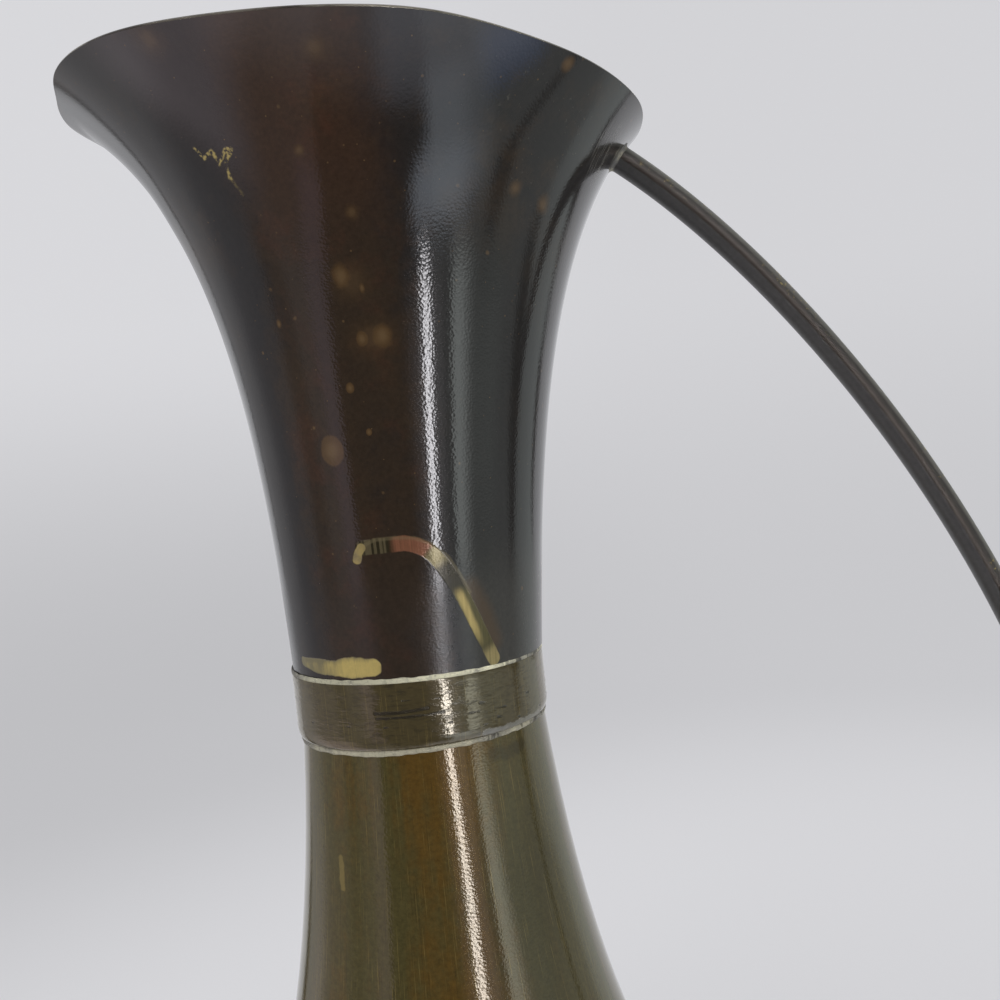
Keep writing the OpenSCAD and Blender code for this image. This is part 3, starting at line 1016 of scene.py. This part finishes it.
# Cards whose edges move with the elevation
LAMP = Card(24.1, 28.0, 0.9, 0.9, -21.6, (17.2, 17.0, 17.7), 1.8)
FAR_LEFT = Card(-123.6, -99, 1.2, 9, -90, (0.41, 0.41, 0.43))
BESIDE = Card(60, 137, 6, 1.2, -90, (0.4, 0.44, 0.44))
SIDE = Card(118, 137, 5, 1.2, -36, (0.22, 0.24, 0.24))
# Patches of light: edges as a card's, the elevations between which each comes in and goes out, and its light
LIGHT_PATCHES = (
    Patch(-112, -66, 12, 12, None, (-27, -14), (0.6, 0.5, 0.55)),
    Patch(62, 92, 8, 6, (-60, -50), (-44, -38), (0.0, 0.12, 0.45)),
    Patch(4, 98, 8, 6, None, (-50, -41), (0.4, 0.42, 0.5)),
)
# Patches of shade, with the share of the light that each takes
SHADE_PATCHES = (
    Patch(40, 103, 4, 3, (-12, -9), None, 0.6),
    Patch(94, 103, 2.5, 2, (-16, -13), None, 0.7),
    Patch(-67, -53, 4, 4, (-18, -14), None, 0.5),
    Patch(54, 82, 6, 6, (-30, -24), (-16, -14), 0.25),
)
# Light everywhere, from the floor, under the lamp and from the pale wall behind, which starts at an azimuth
ROOM_DIM = (0.06, 0.055, 0.055)
LOW_GLOW = (0.55, 0.55, 0.6)
LAMP_GLOW = (0.95, 1.05, 1.2)
BACK_GLOW = (0.7, 0.71, 0.74)
BACK_START = 136.5
# How far the edges at the lip's side swing away from the handle as they rise
EDGE_SWING = 9.0
# The shaft of shade that leans across the lamp's side: the azimuth and elevation where it bends
SHAFT_AZIMUTH, SHAFT_ELEVATION = 75, -29


def mirrored_room():
    """Light of the room by direction, in degrees: dark before the vessel, lit at one side and pale behind."""
    f = Finish("mirrored_room")
    degrees = 180 / math.pi
    azimuth = f.math("ARCTAN2", f.x, 0 - f.y) * degrees
    elevation = f.math("ARCSINE", f.z / f.vector("LENGTH", f.place, output="Value")) * degrees
    swung = azimuth + f.fade(elevation, -26, -11) * (1 - f.fade(azimuth, -10, 10)) * EDGE_SWING

    def span(start, end, start_soft, end_soft):
        after = f.fade(swung, start - start_soft, start + start_soft)
        return after * (1 - f.fade(swung, end - end_soft, end + end_soft))

    def above(start, end):
        return f.fade(elevation, start, end)

    def cover_of(patch):
        cover = span(patch.start, patch.end, patch.start_soft, patch.end_soft)
        if patch.rise:
            cover = cover * above(*patch.rise)
        if patch.fall:
            cover = cover * (1 - above(*patch.fall))
        return cover

    def lit(light, glow, cover):
        return f.vector("ADD", light, f.scaled(glow, cover))

    handle_side = f.fade(f.x, -0.1, 0.1)
    level, upper = above(-14, -8), above(-6, -2)
    soft = handle_side * upper * 3
    behind = abs(azimuth) + 2.5 + handle_side * (level * 5.5 - 3)
    back = f.fade(behind, BACK_START - 1 - soft, BACK_START + 1.5 + soft)
    back = back * (1 - (1 - handle_side) * above(2, 9) * 0.3)
    near = above(-38, -30)
    under_lamp = span(29 - near * 9, 56, 5, 14) * above(-56, -40) * (1 - above(-28, -22)) * (1 + near * 0.6)
    light = lit(ROOM_DIM, BACK_GLOW, back)
    light = lit(light, LOW_GLOW, 1 - above(-66, -38))
    light = lit(light, LAMP_GLOW, under_lamp)
    for patch in LIGHT_PATCHES:
        light = lit(light, patch.strength, cover_of(patch))

    high = above(-14, -11)
    gap = level * 10 - upper * 4
    moving = (
        LAMP._replace(start=LAMP.start - high * 2.2, end=LAMP.end - high * 2.9),
        SIDE._replace(
            start=SIDE.start - above(-19, -15) * 13, end=SIDE.end - gap, end_soft=soft + SIDE.end_soft
        ),
        BESIDE._replace(end=BESIDE.end - gap, end_soft=soft + BESIDE.end_soft),
        FAR_LEFT._replace(start=FAR_LEFT.start - (1 - above(-12, -8)) * 3.5),
    )
    for card in (*moving, *ROOM_CARDS):
        cover = span(card.start, card.end, card.start_soft, card.end_soft)
        light = lit(light, card.glow, cover * above(card.low - card.low_soft, card.low + card.low_soft))

    under = f.larger(SHAFT_ELEVATION - elevation, 0.0)
    over = f.larger(elevation - SHAFT_ELEVATION, 0.0)
    apart = abs(azimuth - SHAFT_AZIMUTH - under * 4.9 + over * 0.9)
    shaft = (1 - f.fade(apart, 3, 8)) * above(-40, -33) * (1 - above(-24, -17)) * 0.7
    left_over = 1 - shaft
    for patch in SHADE_PATCHES:
        left_over = left_over * (1 - cover_of(patch) * patch.strength)
    return f.surface({
        "Base Color": (0, 0, 0, 1),
        "Specular IOR Level": 0.0,
        "Emission Color": f.scaled(light, left_over),
        "Emission Strength": 1.0,
    })


def floor_paper(colours):
    """Pale matt paper, shaded where the floor runs back and up into the wall."""
    f = Finish("floor_paper")
    tone = f.clouds(f.place, 1.2, 2)
    tooth = f.clouds(f.place, 700, 3)
    radius = f.vector("LENGTH", f.vector("MULTIPLY", f.place, (1, 1, 0)), output="Value")
    left = 1 - f.fade(f.x, -0.5, 0.5)
    away = f.fade(radius, 0.5 - left * 0.45, 0.9 - left * 0.15)
    shade = away * (1 - f.fade(f.z, -0.1, 0.7)) * (0.115 + left * 0.15) + (1 - left) * 0.055 + tone * 0.01
    return f.surface({
        "Base Color": f.scaled(tuple(colours.floor_pale), 1 - shade),
        "Roughness": 0.9,
        "Specular IOR Level": 0.0,
        "Normal": f.bump(tooth, 0.05 * MM),
    })


def only_seen_by(thing, camera=False, glossy=False):
    """Limits a thing of the stage to the eye or to mirrors."""
    thing.visible_camera = camera
    thing.visible_glossy = glossy
    thing.visible_diffuse = False
    thing.visible_transmission = False
    thing.visible_volume_scatter = False
    thing.visible_shadow = False


# Operators

# Nearest distance that the camera sees, and radii of the rings of the flat floor
NEAREST_SEEN = 10 * MM
FLOOR_RINGS = (0.002, 0.25, 0.6)


class EwerOperator:
    """What the operators share."""

    bl_options = {"REGISTER", "UNDO"}


def sizes_of(context):
    """The three groups of properties."""
    scene = context.scene
    return scene.ewer_sizes, scene.ewer_colours, scene.ewer_stage


class EWER_OT_stage(EwerOperator, bpy.types.Operator):
    """Sets the camera, the pale sweep and the light"""

    bl_idname = "ewer.stage"
    bl_label = "Stage"

    def execute(self, context):
        _, colours, stage = sizes_of(context)
        self.set_camera(context, stage)
        self.set_sweep(colours, stage)
        self.set_room(stage)
        self.set_light(context, stage)
        return {"FINISHED"}

    def set_camera(self, context, stage):
        right, up, forward = camera_axes(stage)
        data = bpy.data.cameras.new("camera")
        data.lens = stage.lens
        data.sensor_width = stage.sensor
        data.clip_start = NEAREST_SEEN
        camera = bpy.data.objects.new("camera", data)
        context.scene.collection.objects.link(camera)
        axes = Matrix((right, up, -forward)).transposed().to_4x4()
        camera.matrix_world = Matrix.Translation(stage.camera_place) @ axes
        context.scene.camera = camera

    def set_sweep(self, colours, stage):
        bend = stage.sweep_radius / 2
        profile = [(r, 0) for r in FLOOR_RINGS]
        profile += [
            (stage.sweep_radius - bend + bend * math.sin(a), bend - bend * math.cos(a)) for a in arc(0, 90, 6)
        ]
        profile += [(stage.sweep_radius, stage.sweep_height)]
        mesh = grid_mesh("sweep", [turned(r, z, turns(SWEEP_TURN_STEPS)) for r, z in profile], False)
        sweep = add_stage_mesh(mesh, floor_paper(colours))
        only_seen_by(sweep, camera=True)

    def set_room(self, stage):
        mesh = bpy.data.meshes.new("mirrored_room")
        form = bmesh.new()
        bmesh.ops.create_uvsphere(
            form, u_segments=ROOM_TURN_STEPS, v_segments=ROOM_RINGS, radius=stage.tent_radius
        )
        form.to_mesh(mesh)
        form.free()
        room = mirrored_room()
        room.cycles.emission_sampling = "NONE"
        tent = add_stage_mesh(mesh, room)
        tent.location.z = (NECK_LOW.z + NECK_HIGH.z) / 2
        only_seen_by(tent, glossy=True)

    def set_light(self, context, stage):
        context.scene.view_settings.view_transform = "Standard"
        world = bpy.data.worlds.new("room")
        world.use_nodes = True
        light = world.node_tree.nodes["Background"]
        light.inputs["Color"].default_value = (1, 1, 1, 1)
        light.inputs["Strength"].default_value = stage.room_light
        context.scene.world = world
        data = bpy.data.lights.new("key", "AREA")
        data.energy = stage.key_power
        data.size = stage.key_size
        key = bpy.data.objects.new("key", data)
        context.scene.collection.objects.link(key)
        key.location = stage.key_place
        key.rotation_mode = "QUATERNION"
        key.rotation_quaternion = (Vector(stage.key_aim) - key.location).to_track_quat("-Z", "Y")
        key.visible_glossy = False


Dent = namedtuple("Dent", "middle spread longer curl sink swell")

# Dents of the rim: where round the axis, in degrees from the handle's side, how wide, how much longer
# the lip is there, how far its edge curls out, and how far the flare below it sinks in and swells
RIM_DENTS = (
    Dent(250, 22, -1.35 * MM, 0, 0, 0),
    Dent(198, 7, -0.9 * MM, 0, 0, 0),
    Dent(284, 11, 0.45 * MM, 0, 0, 0),
    Dent(307, 12, -0.2 * MM, 0, 0, 0),
    Dent(353, 17, 1.7 * MM, 0, 0, 0),
    Dent(12, 14, 0.5 * MM, 0, 0, 0.8 * MM),
    Dent(179, 9, 0, 0.85 * MM, 0, 0),
    Dent(184, 26, 0, 0, 0.35 * MM, 0),
)
# Shares of the neck's curve between which an edge curls out, a flare sinks in and a flare swells
CURL_OUT = (1.015, 1.073)
SINK_IN = (0.7, 0.82)
SWELL_OUT = (0.84, 0.93)
# Shares of the curve between which the neck's foot and its lip are looked for
FOOT_SEARCH = (-0.1, 0.1)
LIP_SEARCH = (0.7, 1.3)
# How far the rim's cut edge is crowned, as a share of the sheet
CROWN_SHARE = 0.12
# Places of the neck's and the body's finishes
INSIDE_FINISH, RIM_FINISH = 1, 2


def rim_dents(angles):
    """How much longer the lip is round the rim, and how far it curls, sinks and swells."""
    total = np.zeros((4, len(angles)))
    for dent in RIM_DENTS:
        apart = (np.degrees(angles) - dent.middle + 180) % 360 - 180
        share = np.exp(-((apart / dent.spread) ** 2))
        total += np.outer((dent.longer, dent.curl, dent.sink, dent.swell), share)
    return total


def ramp(value, low, high):
    """Zero below low, one above high and smooth in between."""
    t = np.clip((value - low) / (high - low), 0, 1)
    return t * t * (3 - 2 * t)


def neck_rows(size):
    """Rows of the neck's sheet from its foot up the outside, over the rim and down the inside."""
    curve = neck_curve(size)
    angles = turns()
    longer, curl, sink, swell = rim_dents(angles)
    rim_height = size.neck_foot + size.neck_height + longer * math.cos(size.lip_flare)

    def skin(share, out):
        inner = np.clip(share, 0, 1)
        curled = ramp(share, *CURL_OUT)
        sunk = ramp(share, *SINK_IN) * (1 - curled)
        out = out + curl * curled - sink * sunk + swell * ramp(share, *SWELL_OUT)
        point = along(curve, inner) + out[:, None] * outward(curve, inner)
        below = np.minimum(share, 0) * size.neck_height
        past = (np.maximum(share, 1) - 1)[..., None] * stride(size.lip_flare, size.neck_height)
        return point[..., 0] + past[..., 0], point[..., 1] + past[..., 1] + below

    def placed(share, out):
        radius, height = skin(share, out)
        return turned(radius, height, angles)

    def over_rim(out):
        def level(share):
            x, _, z = np.moveaxis(placed(share, out), -1, 0)
            return z - rim_height + x * math.tan(size.rim_slant)
        return level

    def over_foot(share):
        return leaned(size, placed(share, 0))[..., 2] - size.neck_foot + collar_fall(size, angles)

    none = 0 * angles
    foot = crossing(over_foot, *(none + share for share in FOOT_SEARCH))
    lip = crossing(over_rim(-size.sheet / 2), *(none + share for share in LIP_SEARCH))
    shares = [foot + (lip - foot) * i / NECK_STEPS for i in range(NECK_STEPS + 1)]
    outer = [placed(share, 0) for share in shares]
    inner = [placed(share, -size.sheet) for share in shares[::-1]]
    top, back = outer[-1], inner[0]
    rise = outer[-1] - outer[-2]
    rise = rise / np.linalg.norm(rise, axis=-1, keepdims=True)
    rim = []
    for i in range(1, ROUND_STEPS):
        a = math.pi * i / ROUND_STEPS
        crown = rise * (CROWN_SHARE * size.sheet * math.sin(a))
        rim.append((top + back) / 2 + (top - back) / 2 * math.cos(a) + crown)
    return leaned(size, np.array(outer + rim + inner))


class EWER_OT_neck(EwerOperator, bpy.types.Operator):
    """Makes the trumpet neck, with its slanted rim and worn patina"""

    bl_idname = "ewer.neck"
    bl_label = "Neck"

    def execute(self, context):
        size, colours, stage = sizes_of(context)
        mesh = grid_mesh("neck", neck_rows(size), True)
        outside = TURN_STEPS * NECK_STEPS
        over_rim = outside + TURN_STEPS * ROUND_STEPS
        outer_finish = neck_patina(colours, seen_on(stage, mesh))
        finishes = [outer_finish, inside_tarnish(colours), rim_brass(colours)]
        add_piece(mesh, finishes, "neck_funnel")
        for face in mesh.polygons[outside:]:
            face.material_index = RIM_FINISH if face.index < over_rim else INSIDE_FINISH
        return {"FINISHED"}


# Dents of the collar: how deep, how fast they change up the band, and how many round it
COLLAR_DENT = 0.06 * MM
COLLAR_DENT_RISE = 900
COLLAR_DENT_GRAIN = 2.5


class EWER_OT_collar(EwerOperator, bpy.types.Operator):
    """Makes the plain band round the joint"""

    bl_idname = "ewer.collar"
    bl_label = "Collar"

    def execute(self, context):
        size, colours, stage = sizes_of(context)
        low, high = size.body_height, size.body_height + size.collar_height
        edge, outer = size.collar_edge, size.collar_radius
        roll, deep = size.roll_height, size.roll_depth
        bore = COLLAR_HIGH.y - size.collar_step - size.fit_gap
        quarter = arc(0, 90, 15)
        profile = [(bore, low)]
        profile += [(outer - deep + deep * math.sin(a), low + roll - roll * math.cos(a)) for a in quarter]
        profile += [(outer, h) for h in np.linspace(low + roll, high - edge, COLLAR_STEPS)[1:-1]]
        profile += [(outer - edge + edge * math.cos(a), high - edge + edge * math.sin(a)) for a in quarter]
        profile += [(bore, high)]
        angles = turns()
        rows = []
        for r, z in profile:
            dent = COLLAR_DENT * lumps(angles, z * COLLAR_DENT_RISE, COLLAR_DENT_GRAIN) if r > bore else 0
            rise = max(0, z - low - roll) / (high - low - roll)
            rows.append(turned(r + dent, z - rise * collar_fall(size, angles), angles))
        mesh = grid_mesh("collar", rows, True)
        finish = collar_brass(colours, seen_on(stage, mesh))
        add_piece(mesh, [finish], "collar_band")
        return {"FINISHED"}


class EWER_OT_body(EwerOperator, bpy.types.Operator):
    """Makes the pear-shaped body with its spigot"""

    bl_idname = "ewer.body"
    bl_label = "Body"

    def execute(self, context):
        size, colours, stage = sizes_of(context)
        shares = np.linspace(0, 1, SKIN_STEPS // 2)
        lower, upper = body_curves(size)
        outer = np.concatenate([along(lower, shares), along(upper, shares)[1:]])
        inner = np.concatenate([
            along(lower, shares) - size.sheet * outward(lower, shares),
            (along(upper, shares) - size.sheet * outward(upper, shares))[1:],
        ])
        inner = inner[inner[:, 1] < size.body_height - size.sheet]
        inner[0] = (size.base_radius - size.sheet / math.cos(BASE_FLARE), size.base_thickness)
        spigot = size.collar_radius - size.collar_step - 2 * size.fit_gap
        neck = [
            (spigot, size.body_height),
            (spigot, size.spigot_top),
            (spigot - size.sheet, size.spigot_top),
            (spigot - size.sheet, size.body_height - size.sheet),
        ]
        profile = np.concatenate([outer, neck, inner[::-1]])
        mesh = grid_mesh("body", [turned(r, z, turns()) for r, z in profile], True)
        finishes = [body_bronze(colours, seen_on(stage, mesh)), inside_tarnish(colours)]
        add_piece(mesh, finishes, "body_shell")
        for face in mesh.polygons[TURN_STEPS * len(outer):]:
            face.material_index = INSIDE_FINISH
        return {"FINISHED"}


class EWER_OT_base(EwerOperator, bpy.types.Operator):
    """Makes the disc that closes the body"""

    bl_idname = "ewer.base"
    bl_label = "Base"

    def execute(self, context):
        size, colours, _ = sizes_of(context)
        edge = size.base_thickness * BASE_EDGE_SHARE
        radii = np.linspace(0, size.base_radius - edge, BASE_STEPS)
        profile = [(r, 0) for r in radii]
        profile += [
            (size.base_radius - edge + edge * math.cos(a),
             (edge if a < 0 else size.base_thickness - edge) + edge * math.sin(a))
            for a in arc(-60, 60, 30)
        ]
        profile += [(r, size.base_thickness) for r in radii[::-1]]
        rows = [turned(r, z, turns(BASE_TURN_STEPS)) for r, z in profile]
        mesh = grid_mesh("base", rows, True)
        add_piece(mesh, [base_tarnish(colours)], "base_disc")
        return {"FINISHED"}


def rod_path(size):
    """The rod's centre line in the handle's plane: upper and lower curve, and each end with its way out."""
    curve = neck_curve(size)
    seat_height = size.neck_foot + size.neck_height - size.handle_drop
    shares = np.linspace(0, 1, SEAT_STEPS + 1)
    share = shares[np.argmin(np.abs(along(curve, shares)[:, 1] - seat_height))]
    seat, normal = along(curve, share), outward(curve, share)
    turn = math.atan2(normal[1], normal[0]) - size.neck_lean
    way = np.array([math.cos(turn), math.sin(turn)])
    seat = leaned(size, (seat[0], 0, seat[1]))[[0, 2]] + size.fit_gap * way
    low_way = np.array([1.0, 0.0])
    low = np.array([size.belly_radius, size.belly_height]) + size.fit_gap * low_way
    waist = np.array([size.handle_reach, size.waist_height])
    drop, fall = seat[1] - waist[1], waist[1] - low[1]
    up = np.array([0.0, 1.0])
    upper = [
        seat,
        seat + drop * HANDLE_TOP_PULL_SHARE * way,
        waist + drop * HANDLE_WAIST_PULL_SHARE * up,
        waist,
    ]
    lower = [
        waist,
        waist - fall * HANDLE_LOW_PULL_SHARE * up,
        low + (waist[0] - low[0]) * HANDLE_LOW_PULL_SHARE * low_way,
        low,
    ]
    return upper, lower, (seat, way), (low, low_way)


# Width of the small ring that each end of the rod closes to before it is filled, as a share of the rod's
END_RING_SHARE = 0.02


class EWER_OT_handle(EwerOperator, bpy.types.Operator):
    """Makes the bent rod"""

    bl_idname = "ewer.handle"
    bl_label = "Handle"

    def execute(self, context):
        size, colours, _ = sizes_of(context)
        upper, lower, _, _ = rod_path(size)
        around = turns(ROD_SIDES)
        rows = []
        for curve, start in ((upper, 0), (lower, 1)):
            for i in range(start, ROD_STEPS + 1):
                centre, side = along(curve, i / ROD_STEPS), outward(curve, i / ROD_STEPS)
                across = size.rod_radius * np.cos(around)
                rows.append(np.stack([
                    centre[0] + across * side[0],
                    size.rod_radius * np.sin(around),
                    centre[1] + across * side[1],
                ], -1))
        first, last = (row.mean(0) + END_RING_SHARE * (row - row.mean(0)) for row in (rows[0], rows[-1]))
        mesh = grid_mesh("handle", [first, *rows, last], False)
        form = bmesh.new()
        form.from_mesh(mesh)
        bmesh.ops.holes_fill(form, edges=form.edges)
        form.to_mesh(mesh)
        form.free()
        add_piece(mesh, [rod_tarnish(colours)], "handle_rod")
        return {"FINISHED"}


# Solder round the rod's ends: room round the rod, lift off the wall, depth of its hidden foot, its
# unevenness and grain, and how far out the search for the wall starts
BEAD_ROOM = 0.02 * MM
BEAD_LIFT = 0.03 * MM
BEAD_DEPTH = 0.35 * MM
BEAD_UNEVEN_SHARE = 0.35
BEAD_GRAIN = 2.0
SEARCH_START = 20 * MM

Seam = namedtuple("Seam", "lap past bulge wave")

# Solder over and under the collar: how far it laps in behind its face and past the collar's edge, how
# uneven its face is and how far its free edge waves
UPPER_SEAM = Seam(0.03 * MM, 0.1 * MM, 0.16 * MM, 0.3 * MM)
LOWER_SEAM = Seam(0.1 * MM, 0.3 * MM, 0.25 * MM, 0.35 * MM)
# How far the lower seam stands out, and how uneven the face of the base's seam is
LOWER_BEAD = 0.4 * MM
BASE_BULGE = 0.4 * MM
# How round a seam's face is, and how far the base's fillet is pulled in to its corner
FACE_POWER = 0.6
FILLET_PULL_SHARE = 0.45
# Lumps of the seams as share, step of the seed and grain, and the step and grain of their waves
SEAM_LUMPS = ((0.6, 0, 7), (0.4, 20, 26))
SEAM_WAVE_STEP, SEAM_WAVE_GRAIN = 40, 12


def rod_bead_rows(size, seat, way, tree, seed):
    """Rows of the solder round a rod's end: from the rod down a hollow face to the wall."""
    around = turns(BEAD_TURN_STEPS)
    swell = 1 + BEAD_UNEVEN_SHARE * lumps(around, seed, BEAD_GRAIN)
    across = np.array([-way[1], way[0]])
    origin = np.array([seat[0], 0, seat[1]])
    out = np.array([way[0], 0, way[1]])
    spread = np.stack([across[0] * np.cos(around), np.sin(around), across[1] * np.cos(around)], -1)
    rows = []
    for i in range(FILLET_STEPS + 1):
        t = i / FILLET_STEPS
        reach = size.rod_fillet * swell * (1 - math.sin(math.pi / 2 * (1 - t)) if t < 1 else 1)
        lift = size.rod_fillet * swell * (1 - math.sin(math.pi / 2 * t))
        ring = origin + spread * (size.rod_radius + BEAD_ROOM + reach)[:, None]
        for j, point in enumerate(ring):
            found = tree.ray_cast(Vector(point + out * SEARCH_START), Vector(-out))[0]
            if found is None:
                raise RuntimeError("the solder's foot misses the wall")
            ring[j] = np.array(found) + out * (lift[j] + BEAD_LIFT)
        rows.append(ring)
    foot = [row - out * BEAD_DEPTH for row in (rows[-1], rows[0])]
    return rows + foot


class EWER_OT_solder(EwerOperator, bpy.types.Operator):
    """Runs the five solder seams: over and under the collar, in the base and at the rod's ends"""

    bl_idname = "ewer.solder"
    bl_label = "Solder"

    def execute(self, context):
        size, colours, _ = sizes_of(context)
        dirt = colours.collar_dark
        crust = solder_crust("solder", colours.solder_pale, colours.solder_grey, dirt, 19 * MM, lift=0.75)
        dull = solder_crust("dull_solder", colours.solder_dull, colours.solder_grey, dirt, 12 * MM, gap=0.54)
        filed = solder_crust("filed_solder", colours.solder_dark, colours.solder_dull, dirt, 200 * MM)
        self.ring("upper_seam", self.upper_profile(size), 1.0, crust, "upper_seam_solder",
                  math.tan(size.neck_lean), size.collar_slant / 2)
        self.ring("lower_seam", self.lower_profile(size), 2.0, dull, "lower_seam_solder")
        self.ring("base_seam", self.base_profile(size), 3.0, dull, "base_seam_solder")
        _, _, top, low = rod_path(size)
        for name, (seat, way), wall, seed, node in (
            ("handle_top_bead", top, "neck", 4.0, "handle_top_solder"),
            ("handle_bottom_bead", low, "body", 5.0, "handle_bottom_solder"),
        ):
            tree = face_tree(bpy.data.objects[wall].data)
            mesh = grid_mesh(name, rod_bead_rows(size, seat, way, tree, seed), True)
            add_piece(mesh, [filed], node)
        return {"FINISHED"}

    def ring(self, name, profile, seed, finish, node, lean=0.0, slant=0.0):
        angles = turns(SEAM_TURN_STEPS)
        grow = sum(share * lumps(angles, seed + step, grain) for share, step, grain in SEAM_LUMPS)
        wave = lumps(angles, seed + SEAM_WAVE_STEP, SEAM_WAVE_GRAIN)
        rows = []
        for r, z, proud, lift in profile:
            row = turned(r + proud * grow, z, angles)
            row[:, 2] += lift * wave - slant * (1 + np.cos(angles))
            row[:, 0] += lean * max(0, z - COLLAR_HIGH.z)
            rows.append(row)
        mesh = grid_mesh(name, rows, True)
        add_piece(mesh, [finish], node)

    def upper_profile(self, size):
        low, foot = size.body_height + size.collar_height, size.neck_foot
        inner = size.collar_radius - size.collar_step
        wall = size.collar_radius - size.collar_edge / 2
        profile = [(wall - UPPER_SEAM.lap, foot, 0, 0), (inner, foot, 0, 0), (inner, low, 0, 0)]
        for i in range(SEAM_STEPS + 1):
            t = i / SEAM_STEPS
            face = math.sin(math.pi * t)
            z = low - UPPER_SEAM.past + size.seam_height * t
            r = wall + max(0, z - foot) * math.tan(FOOT_FLARE) + size.seam_bead * face ** FACE_POWER
            profile.append((r, z, UPPER_SEAM.bulge * face, UPPER_SEAM.wave * t))
        return profile

    def lower_profile(self, size):
        top = size.body_height
        wall = size.collar_radius - size.collar_step
        profile = [(wall - LOWER_SEAM.lap, top, 0, 0)]
        for i in range(SEAM_STEPS + 1):
            t = i / SEAM_STEPS
            face = math.sin(math.pi * t)
            z = top + LOWER_SEAM.past - size.collar_fillet * (1 - t)
            r = wall + max(0, top - z) * math.tan(SHOULDER_FLARE) + LOWER_BEAD * face ** FACE_POWER
            profile.append((r, z, LOWER_SEAM.bulge * face, LOWER_SEAM.wave * (1 - t)))
        return profile

    def base_profile(self, size):
        corner = np.array([size.base_radius - size.sheet / math.cos(BASE_FLARE), size.base_thickness])
        up = corner + stride(BASE_FLARE, size.base_fillet)
        inward = corner - np.array([size.base_fillet, 0])
        pull = corner + FILLET_PULL_SHARE * ((up + inward) / 2 - corner)
        profile = [(*corner, 0, 0)]
        for i in range(FILLET_STEPS + 1):
            t = i / FILLET_STEPS
            point = (1 - t) ** 2 * up + 2 * t * (1 - t) * pull + t * t * inward
            profile.append((*point, -BASE_BULGE * math.sin(math.pi * t), 0))
        return profile


class EWER_PT_tools(bpy.types.Panel):
    """Lists the ewer's pieces, sizes and colours"""

    bl_idname = "EWER_PT_tools"
    bl_label = "Brass ewer"
    bl_space_type = "VIEW_3D"
    bl_region_type = "UI"
    bl_category = "Ewer"

    def draw(self, context):
        for operator in OPERATORS:
            self.layout.operator(operator.bl_idname)
        for group in sizes_of(context):
            column = self.layout.column(align=True)
            for name in group.__annotations__:
                column.prop(group, name)


GROUPS = {"ewer_sizes": EwerSizes, "ewer_colours": EwerColours, "ewer_stage": EwerStage}
OPERATORS = (
    EWER_OT_stage, EWER_OT_neck, EWER_OT_collar, EWER_OT_body, EWER_OT_base, EWER_OT_handle, EWER_OT_solder
)


def register():
    for kind in (*GROUPS.values(), *OPERATORS, EWER_PT_tools):
        bpy.utils.register_class(kind)
    for name, kind in GROUPS.items():
        setattr(bpy.types.Scene, name, bpy.props.PointerProperty(type=kind))


def unregister():
    for name in GROUPS:
        delattr(bpy.types.Scene, name)
    for kind in reversed((*GROUPS.values(), *OPERATORS, EWER_PT_tools)):
        bpy.utils.unregister_class(kind)


def main():
    register()
    bpy.ops.ewer.stage()
    bpy.ops.ewer.neck()
    bpy.ops.ewer.collar()
    bpy.ops.ewer.body()
    bpy.ops.ewer.base()
    bpy.ops.ewer.handle()
    bpy.ops.ewer.solder()


if __name__ == "__main__":
    main()
